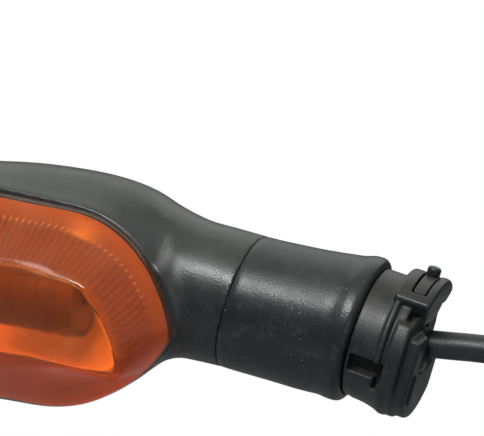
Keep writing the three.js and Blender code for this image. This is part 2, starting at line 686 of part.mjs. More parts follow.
// ---------------------------------------------------------------- connector
function makeConnectorHousing() {
  const { x, top: topZ, width, depth, length } = CONNECTOR;
  const low = topZ - length;
  const body = roundedPlate([0, length], [-depth / 2, depth / 2], [-width / 2, width / 2], 1.5)
    .rotate([0, 90, 0])
    .translate([x, 0, topZ]);
  const mouth = block([x - 5.2, x + 5.2], [-3.4, 3.4], [low - 1, low + 15]);
  const rail = (at) => block(
    [at - 0.9, at + 0.9], [depth / 2 - 0.5, depth / 2 + 2.8], [low + 5, low + 19],
  );
  const sealSeat = turnedAlongZ(
    [[topZ - 3, 0], [topZ - 3, 4], [topZ + 1, 4], [topZ + 1, 0]], x, 0,
  );
  const bores = [-2.6, 2.6].map((dx) =>
    turnedAlongZ([[low + 10, 0], [low + 10, 1.3], [topZ + 1, 1.3], [topZ + 1, 0]], x + dx, 0, 12),
  );
  return body
    .add(rail(x - 4.4))
    .add(rail(x + 4.4))
    .subtract(mouth)
    .subtract(sealSeat)
    .subtract(bores[0].add(bores[1]));
}
add('connector_housing', makeConnectorHousing(), 'nylon');

[['connector_pin_live', -2.6], ['connector_pin_earth', 2.6]].forEach(([name, dx]) => {
  const low = CONNECTOR.top - CONNECTOR.length;
  add(
    name,
    turnedAlongZ(
      [[low + 7, 0], [low + 7.5, 0.8], [low + 22, 0.8], [low + 22, 0]], CONNECTOR.x + dx, 0, 12,
    ),
    'brass',
  );
});
add(
  'connector_seal',
  turnedAlongZ(
    [[CONNECTOR.top - 2.6, 0], [CONNECTOR.top - 2.6, 3.6], [CONNECTOR.top + 0.6, 3.6],
      [CONNECTOR.top + 0.6, 4.4], [CONNECTOR.top + 2, 4.4], [CONNECTOR.top + 8, 3.5],
      [CONNECTOR.top + 8, 0]],
    CONNECTOR.x,
    0,
  ),
  'rubber',
);

function makeConnectorLever() {
  const low = CONNECTOR.top - CONNECTOR.length;
  const face = CONNECTOR.depth / 2;
  const across = [CONNECTOR.x - 3.1, CONNECTOR.x + 3.1];
  const arm = block(across, [face + 1.1, face + 2.4], [low + 1, low + 21]);
  const hook = block(across, [face + 0.4, face + 1.2], [low + 1, low + 3]);
  const pad = block(across, [face + 2.3, face + 3.2], [low + 17, low + 21]);
  return arm.add(hook).add(pad);
}
add('connector_lever', makeConnectorLever(), 'nylon');

export default group;
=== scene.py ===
"""Looks for the motorcycle turn signal: lamp head, rubber stem, snap-in base and lead."""

# fmt: off

import json
from math import cos, pi, radians, sin

import bpy
import numpy as np
from mathutils import Matrix, Vector

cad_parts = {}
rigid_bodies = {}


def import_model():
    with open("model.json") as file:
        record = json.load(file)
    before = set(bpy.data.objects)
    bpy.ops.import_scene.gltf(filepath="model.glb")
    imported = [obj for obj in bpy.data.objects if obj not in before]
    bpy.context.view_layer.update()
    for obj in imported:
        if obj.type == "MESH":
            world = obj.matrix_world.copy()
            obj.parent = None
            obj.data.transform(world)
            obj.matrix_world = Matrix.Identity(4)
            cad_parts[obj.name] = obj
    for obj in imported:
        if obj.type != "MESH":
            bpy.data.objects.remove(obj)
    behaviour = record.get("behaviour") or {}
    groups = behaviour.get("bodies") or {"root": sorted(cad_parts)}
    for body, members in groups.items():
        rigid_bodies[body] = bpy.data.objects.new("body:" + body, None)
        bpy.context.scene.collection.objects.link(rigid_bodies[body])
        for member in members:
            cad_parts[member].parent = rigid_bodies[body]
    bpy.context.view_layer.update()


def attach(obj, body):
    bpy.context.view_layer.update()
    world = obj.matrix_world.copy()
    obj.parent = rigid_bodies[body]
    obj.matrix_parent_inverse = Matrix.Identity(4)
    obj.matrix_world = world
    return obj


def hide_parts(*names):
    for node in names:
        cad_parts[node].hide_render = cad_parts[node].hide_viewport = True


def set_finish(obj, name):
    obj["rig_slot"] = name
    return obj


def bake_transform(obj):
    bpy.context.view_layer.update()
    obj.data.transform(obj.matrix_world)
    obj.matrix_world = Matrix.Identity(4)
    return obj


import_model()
scene = bpy.context.scene
MM = 0.001


# ---- camera
AZIMUTH, ELEVATION, ROLL = (radians(a) for a in (16.0, 14.0, 15.2))
DISTANCE = 0.450
LENS_MM = 153.96
AIM_RIGHT, AIM_UP = -0.02707, 0.02457


def linked(name, data):
    thing = bpy.data.objects.new(name, data)
    scene.collection.objects.link(thing)
    return thing


def placed(x, y, z, place):
    """The matrix of an object with these axes at this place."""
    return Matrix([*zip(x, y, z, place), (0, 0, 0, 1)])


def add_camera():
    right = Vector((cos(AZIMUTH), sin(AZIMUTH), 0))
    back = Vector((
        sin(AZIMUTH) * cos(ELEVATION),
        -cos(AZIMUTH) * cos(ELEVATION),
        sin(ELEVATION),
    ))
    up = back.cross(right)
    x = right * cos(ROLL) + up * sin(ROLL)
    y = up * cos(ROLL) - right * sin(ROLL)
    place = x * AIM_RIGHT + y * AIM_UP + back * DISTANCE
    data = bpy.data.cameras.new("camera")
    data.sensor_width = 36
    data.lens = LENS_MM
    data.clip_start = 0.01
    scene.camera = linked("camera", data)
    scene.camera.matrix_world = placed(x, y, back, place)


add_camera()


# ---- curves
TAU = 2 * pi


def full_turn(count, start=0.0):
    return np.linspace(start, start + TAU, count, endpoint=False)


def catmull(points, closed=False, per=24):
    """Centripetal Catmull-Rom curve through points, sampled per times a span."""
    p = np.array(points, float)
    n = len(p)
    if closed:
        q, spans = p[np.arange(-1, n + 2) % n], n
    else:
        q, spans = np.vstack([2 * p[0] - p[1], p, 2 * p[-1] - p[-2]]), n - 1
    out = []
    for i in range(spans):
        a, b, c, d = q[i : i + 4]
        d0, d1, d2 = (max(np.linalg.norm(v), 1e-9) ** 0.5 for v in (b - a, c - b, d - c))
        m1 = ((b - a) / d0 - (c - a) / (d0 + d1) + (c - b) / d1) * d1
        m2 = ((c - b) / d1 - (d - b) / (d1 + d2) + (d - c) / d2) * d1
        t = np.linspace(0, 1, per, endpoint=False)[:, None]
        square, cube = 3 * (c - b) - 2 * m1 - m2, 2 * (b - c) + m1 + m2
        out.append(b + m1 * t + square * t**2 + cube * t**3)
    if not closed:
        out.append(p[-1:])
    return np.vstack(out)


def through(pairs):
    """A smooth function through (position, value) pairs, as the CAD's own interpolant."""
    line = np.array(pairs, float)
    t, v = line[:, 0], line[:, 1]

    def value(x):
        x = np.clip(np.asarray(x, float), t[0], t[-1])
        i = np.clip(np.searchsorted(t, x, side="right") - 1, 0, len(t) - 2)
        before, after = np.maximum(i - 1, 0), np.minimum(i + 2, len(t) - 1)
        half = (t[i + 1] - t[i]) / 2
        at_start, at_end = i == 0, i == len(t) - 2
        wp = np.where(at_start, -0.5, half / np.where(at_start, 1, t[i] - t[before]))
        wn = np.where(at_end, -0.5, half / np.where(at_end, 1, t[after] - t[i + 1]))
        previous = np.where(at_start, v[i + 1], v[before])
        following = np.where(at_end, v[i], v[after])
        p = (x - t[i]) / (2 * half)
        return (
            (-wp * p**3 + 2 * wp * p**2 - wp * p) * previous
            + ((1 + wp) * p**3 + (-1.5 - 2 * wp) * p**2 + (-0.5 + wp) * p + 1) * v[i]
            + ((-1 - wn) * p**3 + (1.5 + wn) * p**2 + 0.5 * p) * v[i + 1]
            + (wn * p**3 - wn * p**2) * following
        )

    return value


# ---- lead
CABLE_D = 6.0
PLUG_X, PLUG_TOP = 63.5, -158.0
CABLE_ROUTE = [
    (14.3, 0, 2.1), (18.6, 0, 3.2), (23.6, 0, 4.5), (29, 0.2, 5.6), (34.5, 0.5, 5.9),
    (40, 0.9, 5.1), (45.4, 1.3, 3.1), (50.4, 1.7, -0.3), (54.8, 2, -5), (58.3, 2.2, -11),
    (60.9, 2.3, -18), (62.5, 2.3, -26), (63.3, 2.2, -36), (63.6, 1.8, -50), (63.7, 1.3, -66),
    (63.7, 0.8, -84), (63.6, 0.4, -102), (63.5, 0.1, -120), (63.5, 0, -136),
    (63.5, 0, PLUG_TOP + 8.3),
]
CABLE_PATH = catmull(CABLE_ROUTE, per=9)


# ---- meshes
def link_mesh(name, points, faces):
    """A mesh object from points in millimetres."""
    data = bpy.data.meshes.new(name)
    points = np.asarray(points, float) * MM
    data.from_pydata(points.tolist(), [], [list(map(int, f)) for f in faces])
    data.validate()
    data.update()
    data.polygons.foreach_set("use_smooth", [True] * len(data.polygons))
    return linked(name, data)


def grid_faces(rows, sides):
    """Quads of a closed band of rows, each row a ring."""
    k, i = np.meshgrid(np.arange(rows - 1), np.arange(sides), indexing="ij")
    a = (k * sides + i).ravel()
    b = (k * sides + (i + 1) % sides).ravel()
    return np.stack([a, b, b + sides, a + sides], 1)


def outward(piece):
    """Turns the faces outwards, from the sign of the volume they enclose."""
    data = piece.data
    data.calc_loop_triangles()
    co = np.array([v.co for v in data.vertices])
    tri = np.array([t.vertices for t in data.loop_triangles])
    a, b, c = co[tri[:, 0]], co[tri[:, 1]], co[tri[:, 2]]
    if np.einsum("ij,ij->i", a, np.cross(b, c)).sum() < 0:
        data.flip_normals()
    return piece


def skin(name, rings):
    """Rings of equally many points skinned in order, each end closed by a fan."""
    rings = np.asarray(rings, float)
    rows, sides = rings.shape[:2]
    points = list(rings.reshape(-1, 3))
    faces = grid_faces(rows, sides).tolist()
    for row in (0, rows - 1):
        tip = len(points)
        points.append(rings[row].mean(0))
        for i in range(sides):
            a, b = row * sides + i, row * sides + (i + 1) % sides
            faces.append([a, b, tip] if row else [b, a, tip])
    return outward(link_mesh(name, points, faces))


def torus_skin(name, rings):
    """Rings skinned in order, with the last joined to the first."""
    rings = np.asarray(rings, float)
    rows, sides = rings.shape[:2]
    faces = grid_faces(rows, sides)
    i = np.arange(sides)
    last = (rows - 1) * sides
    loop = np.stack([last + i, last + (i + 1) % sides, (i + 1) % sides, i], 1)
    return outward(link_mesh(name, rings.reshape(-1, 3), np.vstack([faces, loop])))


def sweep(name, path, radius, sides=28):
    """A round tube along a path, its ends closed; the radius may change along it."""
    path = np.asarray(path, float)
    radius = np.broadcast_to(radius, len(path))
    along = np.gradient(path, axis=0)
    along /= np.linalg.norm(along, axis=1)[:, None]
    across = np.cross(along[0], (0.0, 1.0, 0.0))
    angle = full_turn(sides)[:, None]
    rings = []
    for place, ahead, size in zip(path, along, radius):
        across = across - ahead * (across @ ahead)
        across /= np.linalg.norm(across)
        other = np.cross(ahead, across)
        rings.append(place + size * (np.cos(angle) * across + np.sin(angle) * other))
    return skin(name, rings)


def stand(piece, node, body, finish):
    """One piece in the place of a CAD node; a piece with no body is left without a parent."""
    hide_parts(node)
    if body:
        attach(piece, body)
    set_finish(piece, finish)
    return piece


lead = stand(sweep("lead", CABLE_PATH, CABLE_D / 2), "cable", "base", "cable_sheath")


def surface_nets(name, field, low, high, step):
    """The surface where a field of (x, y, z) in millimetres changes sign, negative inside."""
    axes = [np.arange(a - 2 * step, b + 2.01 * step, step) for a, b in zip(low, high)]
    x, y, z = np.meshgrid(*axes, indexing="ij", sparse=True)
    value = np.broadcast_to(field(x, y, z), [len(a) for a in axes]).astype(np.float32)
    for side in (0, -1):
        value[side], value[:, side], value[:, :, side] = step, step, step
    inside = value < 0
    corners = [(i, j, k) for i in (0, 1) for j in (0, 1) for k in (0, 1)]
    shape = [n - 1 for n in value.shape]

    def corner(array, c):
        return array[c[0] : c[0] + shape[0], c[1] : c[1] + shape[1], c[2] : c[2] + shape[2]]

    count = sum(corner(inside, c).astype(np.int8) for c in corners)
    cells = np.argwhere((count > 0) & (count < 8))
    number = np.full(shape, -1, np.int64)
    number[tuple(cells.T)] = np.arange(len(cells))
    total = np.zeros((len(cells), 3))
    crossings = np.zeros(len(cells))
    for c in corners:
        for axis in range(3):
            if c[axis]:
                continue
            d = list(c)
            d[axis] = 1
            v0, v1 = (value[tuple((cells + end).T)] for end in (c, d))
            cut = (v0 < 0) != (v1 < 0)
            t = v0[cut] / (v0[cut] - v1[cut])
            place = np.tile(np.array(c, float), (cut.sum(), 1))
            place[:, axis] = t
            total[cut] += place
            crossings[cut] += 1
    points = (cells + total / crossings[:, None]) * step + [a[0] for a in axes]
    faces, unit = [], np.eye(3, dtype=int)
    for axis in range(3):
        u, v = (axis + 1) % 3, (axis + 2) % 3
        a, b = (np.delete(inside, end, axis) for end in (-1, 0))
        edge = np.argwhere(a != b)
        edge = edge[(edge[:, u] > 0) & (edge[:, v] > 0)]
        flip = b[tuple(edge.T)]
        ring = (edge, edge - unit[u], edge - unit[u] - unit[v], edge - unit[v])
        quad = np.stack([number[tuple(cell.T)] for cell in ring], 1)
        quad[flip] = quad[flip][:, ::-1]
        faces.append(quad)
    return outward(link_mesh(name, points, np.vstack(faces)))


# fields: distances in millimetres, negative inside
def join(a, b, k=0.4):
    h = np.clip(0.5 + 0.5 * (b - a) / k, 0, 1)
    return b * (1 - h) + a * h - k * h * (1 - h)


def meet(a, b, k=0.4):
    return -join(-a, -b, k)


def cut(a, b, k=0.4):
    return meet(a, -b, k)


def slab(v, low, high):
    return np.maximum(low - v, v - high)


def around(u, v, radius, u0=0.0, v0=0.0):
    return np.hypot(u - u0, v - v0) - radius


def brick(x, y, z, xs, ys, zs, k=0.4):
    return meet(meet(slab(x, *xs), slab(y, *ys), k), slab(z, *zs), k)


def sector(y, z, start, end):
    """Distance outside the angles start to end in degrees about X, from straight up."""
    angle = np.degrees(np.arctan2(y, z))
    return np.radians(slab(angle, start, end)) * np.maximum(np.hypot(y, z), 1)


def mould(name, field, box, step, node, body, finish):
    """A piece from its field in a box, given as the low and the high corner."""
    return stand(surface_nets(name, field, *box, step), node, body, finish)


# ---- lamp head shapes
HEAD = np.array([-77.5, -15.0, -16.5])
DROOP = radians(10.5)
SEAM_X, SEAM_Z, STEM_R = -28.3, -3.05, 15.25
SCREW_AT = (-32.2, -2.5)
LAMP_AXIS = (-8.0, 8.0, 0.8)


def in_head(x, y, z):
    """Points of the head's own frame, in the row frame, in millimetres."""
    x, y, z = np.broadcast_arrays(x, y, z)
    c, s = cos(DROOP), sin(DROOP)
    return np.stack([HEAD[0] + x * c - z * s, HEAD[1] + y, HEAD[2] + x * s + z * c], -1)


def to_head(x, y, z):
    c, s = cos(DROOP), sin(DROOP)
    dx, dz = x - HEAD[0], z - HEAD[2]
    return dx * c + dz * s, y - HEAD[1], dz * c - dx * s


def polar(points):
    """A closed outline as its radius at each angle about the lens centre."""
    line = catmull(points, closed=True, per=40)
    angle = np.arctan2(line[:, 1], line[:, 0])
    order = np.argsort(angle)
    angle, radius = angle[order], np.hypot(line[:, 0], line[:, 1])[order]
    return lambda a: np.interp(a, angle, radius, period=TAU)


lens_outline = polar([
    (40, -1.8), (38.2, 5.2), (34, 12.2), (28.6, 17.9), (21, 21.7), (6, 23.2), (-10, 23.6),
    (-23, 21.6), (-32.5, 15), (-38.6, 5), (-40, -4), (-36, -13), (-27, -19.8), (-12, -22.6),
    (3, -22.6), (14, -22.2), (21.5, -20.2), (28.2, -16.4), (33.8, -11.6), (38, -6.2),
])
window_outline = polar([
    (34.2, -6.3), (33, -3.1), (30.3, 1.7), (27.2, 6.2), (23.3, 9.4), (13.7, 10), (0, 9.8),
    (-14.2, 10.5), (-22.3, 8.4), (-27.9, 2.3), (-30.7, -3.3), (-29.3, -7.5), (-21, -8.8),
    (-9.3, -8), (0, -7.5), (9.5, -8), (22.6, -8.8), (33.9, -9.5),
])

top = through([
    (-119, -17), (-116, -9), (-111, -0.6), (-103, 5.4), (-90, 9.8), (-76, 12.8), (-64, 14.2),
    (-56, 13.9), (-49, 12.3), (-42, 11.4), (-35, 11.8), (SEAM_X, SEAM_Z + STEM_R),
])
bottom = through([
    (-119, -26), (-114, -32), (-106, -38.6), (-95, -40.8), (-81, -39.6), (-66, -36.4),
    (-55, -31.6), (-48, -25.6), (-43.5, -21.2), (-39, -19.8), (-34, -19),
    (SEAM_X, SEAM_Z - STEM_R),
])
front = through([
    (-119, -17), (-112, -23), (-100, -27), (-70, -27), (-58, -23), (-50, -18.5),
    (-43, -15.8), (-36, -15.1), (SEAM_X, -STEM_R),
])
back = through([
    (-119, -4), (-115, 5), (-108, 12), (-98, 16.5), (-84, 19), (-68, 19), (-55, 17.6),
    (-45, 16.1), (-36, 15.4), (SEAM_X, STEM_R),
])
widest_y = through([
    (-119, -10), (-105, -6.5), (-90, -5), (-70, -3), (-55, -1.6), (-42, -0.4), (SEAM_X, 0),
])
squareness = through([(-119, 2.2), (-100, 2.5), (-62, 2.5), (-42, 2.1), (SEAM_X, 2)])


def housing_form(x, y, z, wall=0.0):
    """The head's smooth outer form: a four-quadrant superellipse across X."""
    middle_y, middle_z = widest_y(x), (top(x) + bottom(x)) / 2
    half = (top(x) - bottom(x)) / 2 - wall
    power = squareness(x)
    dy = y - middle_y
    depth = np.where(dy < 0, middle_y - front(x), back(x) - middle_y) - wall
    ratio = (np.abs(dy) / depth) ** power + (np.abs(z - middle_z) / half) ** power
    return (ratio ** (1 / power) - 1) * np.minimum(depth, half)


HEAD_END = -118.9
RIM_MARGIN, RIM_DEPTH, RIM_EDGE = 0.3, 14, 0.25
NECK_FROM, NECK_WALL = -46, 3.2
CAVITY_DEPTHS = [-1, 8, 16, 22, 26, 27.5]
CAVITY_INSETS = [4, 5, 5.5, 6, 7, 8]
CAVITY_SCALES = [1, 1, 0.9, 0.76, 0.55, 0.3]
COLUMN_R, SCREW_HOLE_R, SCREW_HEAD_HOLE_R, SCREW_SHOULDER = 3.3, 1.6, 3.1, 8
SPIGOT_R, WIRE_PASSAGE_R = 10.5, 6.5


def housing_field(x, y, z):
    hx, hy, hz = to_head(x, y, z)
    reach, side = np.hypot(hx, hz), np.arctan2(hz, hx)
    outline = lens_outline(side)
    form = meet(housing_form(x, y, z), HEAD_END - x, 6)
    # behind the rim the head widens at a slope that is steep towards the neck
    slope = 0.9 + 6 * np.exp(-((side / 0.45) ** 2))
    flare = (reach - outline - RIM_MARGIN - slope * hy) / np.hypot(1, slope)
    flare = flare - 1.5 * np.clip(x - NECK_FROM, 0, 20)
    form = meet(form, flare, 5)
    # the rim's plane runs out as the neck comes forward
    rim_plane = HEAD[1] - y - np.clip((x + 39) / 2, 0, 1) * 3
    form = meet(form, rim_plane, RIM_EDGE)
    margin = np.interp(hy, [-1, 0.4, 5, RIM_DEPTH], [0.1, RIM_MARGIN, RIM_MARGIN, -2])
    rim = meet(reach - outline - margin, slab(hy, 0, RIM_DEPTH), RIM_EDGE)
    form = np.maximum(join(form, rim, 5), x - SEAM_X)
    inset = np.interp(hy, CAVITY_DEPTHS, CAVITY_INSETS)
    scale = np.interp(hy, CAVITY_DEPTHS, CAVITY_SCALES)
    cavity = meet(reach - (outline - inset) * scale, hy - CAVITY_DEPTHS[-1], 2)
    form = cut(form, cavity, 1)
    column = meet(around(hx, hz, COLUMN_R, *SCREW_AT), slab(hy, 1, 22), 0.4)
    form = join(form, column, 1)
    bore = np.where(hy < SCREW_SHOULDER, SCREW_HOLE_R, SCREW_HEAD_HOLE_R)
    form = cut(form, meet(around(hx, hz, bore, *SCREW_AT), -1 - hy, 0.2), 0.4)
    neck = meet(housing_form(x, y, z, NECK_WALL), slab(x, NECK_FROM - 1, -32), 0.5)
    form = cut(form, neck, 0.5)
    spigot = meet(around(y, z, SPIGOT_R, 0, SEAM_Z), slab(x, -32, -20), 0.8)
    form = join(form, spigot, 0.3)
    passage = meet(around(y, z, WIRE_PASSAGE_R, 0, SEAM_Z), slab(x, -50, -10), 0.5)
    return cut(form, passage, 0.5)


HOUSING_BOX = (-119.5, -15.5, -42), (-19.5, 20, 15)
mould("housing", housing_field, HOUSING_BOX, 0.5, "rear_housing", "head", "housing_plastic")


# ---- lens
LENS_WALL = 1.5
LENS_SIDES = 840
LENS_ROWS = [
    # y, blend from the lens outline to the window's, inset, scale
    (-0.25, 0, -0.22, 1), (-1.2, 0, -0.16, 1), (-2.4, 0, 0.1, 1), (-4.6, 0.09, 0.3, 1),
    (-8.4, 0.34, 0.3, 1), (-12.2, 0.59, 0.3, 1), (-14.6, 0.75, 0.3, 1), (-15.3, 0.82, 0.28, 1),
    (-15.7, 0.88, 0.2, 1), (-15.95, 0.94, 0.1, 1), (-16.05, 1, 0, 1), (-16.2, 1, 0, 0.75),
    (-16.35, 1, 0, 0.4), (-16.4, 1, 0, 0.02),
]
BLEND_WEIGHT, SCALE_WEIGHT = 10, 20
# the flutes' band, as blends, and the fan of the flutes
FLUTED_FROM, FLUTED_TO = 0.2, 0.83
FLUTE_CENTRE = (4.0, -38.0)
FLUTE_ANGLE = 0.0268
FLUTE_DEPTH = 0.2


def lens_surface(per, inner):
    """Points of one face of the lens in the head's frame, with their blend and scale."""
    angle = full_turn(LENS_SIDES, -pi)[None, :]
    weights = np.array([1, BLEND_WEIGHT, 1, SCALE_WEIGHT])
    rows = catmull(np.array(LENS_ROWS) * weights, per=per) / weights
    y, blend, inset, scale = (rows[:, i : i + 1] for i in range(4))
    if inner:
        y, inset = y + LENS_WALL, inset + LENS_WALL
    outer, window = lens_outline(angle), window_outline(angle)
    reach = (outer + (window - outer) * blend - inset) * scale
    return np.broadcast_arrays(reach * np.cos(angle), y, reach * np.sin(angle), blend, scale)


def flute_wave(x, z):
    """The flutes fan out from a point below the lens."""
    angle = np.arctan2(x - FLUTE_CENTRE[0], z - FLUTE_CENTRE[1])
    return np.cos(TAU * angle / FLUTE_ANGLE)


DOT_BLEND, DOT_HEIGHT = 0.022, 0.4
GLINT_AT = (19, 17)
EDGE_DEPTH = 0.6


def make_lens():
    """The lens, with flutes inside its band and raised dots where they start, which the materials
    give a painted glow.
    """
    ox, oy, oz, ob, _ = lens_surface(6, False)
    ix, iy, iz, ib, scale = lens_surface(8, True)
    flank = np.clip((ib - FLUTED_FROM) / 0.06, 0, 1)
    flank = flank * np.clip((FLUTED_TO - 0.02 - ib) / 0.06, 0, 1)
    above = np.clip((iz + 15 - np.maximum(0, 30 - ix) * 0.5) / 4, 0, 1)
    wave = flute_wave(ix, iz)
    iy = iy + FLUTE_DEPTH * flank * above * wave
    start = np.exp(-(((ib - FLUTED_FROM) / DOT_BLEND) ** 2)) * (scale > 0.99)
    dots = start * np.clip((wave - 0.45) / 0.5, 0, 1) * np.clip((iz - 1) / 6, 0, 1)
    # painted glint: a patch near the upper corner joins the dots, raised and given their painted
    # glow
    corner = np.exp(-(((ix - GLINT_AT[0]) ** 2 + (iz - GLINT_AT[1]) ** 2) / 9))
    glint = corner * np.clip((FLUTED_FROM + 0.06 - ib) / 0.05, 0, 1) * np.clip(ib / 0.04, 0, 1)
    dots = np.maximum(dots, glint * (0.35 + 0.65 * np.abs(wave)))
    iy = iy - DOT_HEIGHT * dots
    kept = iy[:, 0] < 0.2  # further back, the wall would fold over its own edge
    ix, iy, iz, ib, scale, wave, dots, flank, above = (
        v[kept] for v in (ix, iy, iz, ib, scale, wave, dots, flank, above)
    )
    outer, inner = in_head(ox, oy, oz)[::-1], in_head(ix, iy, iz)
    edge = in_head(ix[:1], np.full((1, LENS_SIDES), EDGE_DEPTH), iz[:1])
    piece = skin("lens_body", np.concatenate([outer, edge, inner]))
    # what each point carries to the materials: outer rows, the edge's row, inner rows
    blank, row = np.zeros(outer.shape[:2]), np.zeros((1, LENS_SIDES))
    layers = {
        # glow carries a painted glow, groove a painted shade in the flutes' grooves, rim a stronger
        # orange with a faint painted glow
        "glow": (blank, row, dots),
        "groove": (blank, row, flank * above * (0.5 - 0.5 * wave)),
        "rim": (blank[1:], row + 1, row + 1, np.clip(1 - ib / FLUTED_FROM, 0, 1)),
        "window": (np.clip((ob[::-1] - 0.8) / 0.1, 0, 1), row, dots * 0),
    }
    for name, values in layers.items():
        values = np.append(np.concatenate(values).ravel(), [0, 0])  # the two end points
        attribute = piece.data.attributes.new(name, "FLOAT", "POINT")
        attribute.data.foreach_set("value", values.astype(np.float32))
    # the inner faces of the band, and the rim's faces, diffuse; the rest is clear
    rows_out = len(outer)
    row_blend = np.concatenate([np.full(rows_out + 1, -1.0), ib[:, 0]])
    row_scale = np.concatenate([np.full(rows_out + 1, 1.0), scale[:, 0]])
    face = np.arange(len(piece.data.polygons))
    band = np.minimum(face // LENS_SIDES, len(row_blend) - 2)
    side = face % LENS_SIDES / LENS_SIDES * TAU - pi
    upper = np.clip((np.sin(side) - 0.3) / 0.3, 0, 1)
    limit = FLUTED_TO + 0.06 * (1 - upper)
    diffusing = (row_blend[band] > -0.5) & (row_blend[band] < limit)
    diffusing |= (band == rows_out - 1) | (band == rows_out)
    diffusing &= row_scale[band] > 0.99
    diffusing[(len(row_blend) - 1) * LENS_SIDES :] = False
    piece.data.polygons.foreach_set("material_index", diffusing.astype(np.int32))
    return piece


lens = make_lens()
stand(lens, "lens", "head", "amber_lens")


# ---- reflector
def make_reflector():
    """A bowl with shallow facets, from (depth, inset x 10, scale x 10) rows."""
    facet_width, facet_depth, wall = 7.0, 0.5, 0.9
    angle = full_turn(360, -pi)[None, :]
    rows = catmull(
        [(0.6, 44, 10), (8, 54, 10), (14.2, 60, 9), (19.7, 66, 7.6), (23.3, 76, 5.2),
         (23.9, 80, 0.2)],
        per=14,
    )
    y, inset, scale = rows[:, 0:1], rows[:, 1:2] / 10 + 1.2, rows[:, 2:3] / 10
    reach = (lens_outline(angle) - inset) * scale
    x, z = reach * np.cos(angle), reach * np.sin(angle)
    facet = facet_depth * np.abs(np.sin(pi * x / facet_width)) * np.clip((22 - y) / 6, 0, 1)
    inner = in_head(x, y - facet * np.clip((y - 6) / 6, 0, 1), z)
    ring = (lens_outline(angle) - inset + 1.0) * scale
    outer = in_head(ring * np.cos(angle), y + wall, ring * np.sin(angle))
    return skin("reflector_bowl", np.concatenate([inner[::-1], outer]))


stand(make_reflector(), "reflector", "head", "reflector_chrome")


# ---- flexible stem
STEM_SECTIONS = [
    (-28, 15.25, SEAM_Z), (-24, 15.3, -2.75), (-20, 15.4, -2.35), (-15, 15.55, -1.85),
    (-11, 15.75, -1.4), (-7.5, 15.9, -0.9), (-6.2, 15.93, -0.7), (-5.2, 16.02, -0.55),
    (-4.2, 16.22, -0.4), (-3.2, 16.4, -0.25), (-2.2, 16.46, -0.18),
]


def make_stem():
    """Rows of (x, radius, height of the centre): the outside, the lip, then the bore."""
    sides = 200
    angle = full_turn(sides)
    body = catmull(STEM_SECTIONS, per=10)
    start = [(-28.2, 14.2), (-28.2, 15.0), (-28.17, 15.14), (-28.05, 15.22)]
    start = [(x, r, SEAM_Z) for x, r in start]
    lip = [
        (-1.6, 16.42, -0.12), (-1.1, 16.3, -0.08), (-0.72, 16.08, -0.05), (-0.4, 15.75, -0.02),
        (-0.18, 15.35, 0), (-0.05, 14.95, 0), (0, 14.6, 0), (-0.06, 14.46, 0),
        (-0.3, 14.42, 0), (-0.3, 10.8, -1),
    ]
    bore = [
        (-8.2, 10.8, -1), (-8.3, 6.6, -1.2), (-14, 6.5, -1.9), (-19.6, 6.6, SEAM_Z),
        (-19.7, 10.5, SEAM_Z), (-20.8, 10.9, SEAM_Z), (-23.7, 11.7, SEAM_Z), (-24, 10.8, SEAM_Z),
        (-27.99, 10.8, SEAM_Z),
    ]
    rows = np.vstack([start, body[4:], lip, bore])
    rings = [
        np.stack([np.full(sides, x), r * np.cos(angle), z + r * np.sin(angle)], 1)
        for x, r, z in rows
    ]
    return torus_skin("stem_skin", rings)


stem = make_stem()
stand(stem, "flexible_stem", None, "stem_rubber")


# ---- mounting base
BASE_R, FLANGE_R, PLATE_R = 14.4, 15.6, 15
BLOCK_ANGLE, BLOCK_LEAN = 41, radians(14)
RIB_ANGLES = ((-100, -38), (38, 100))
SLIT_ANGLES, TONGUE_ANGLES = (-31, 22), (-29.8, 13)
FAR = 20  # past the base on any side


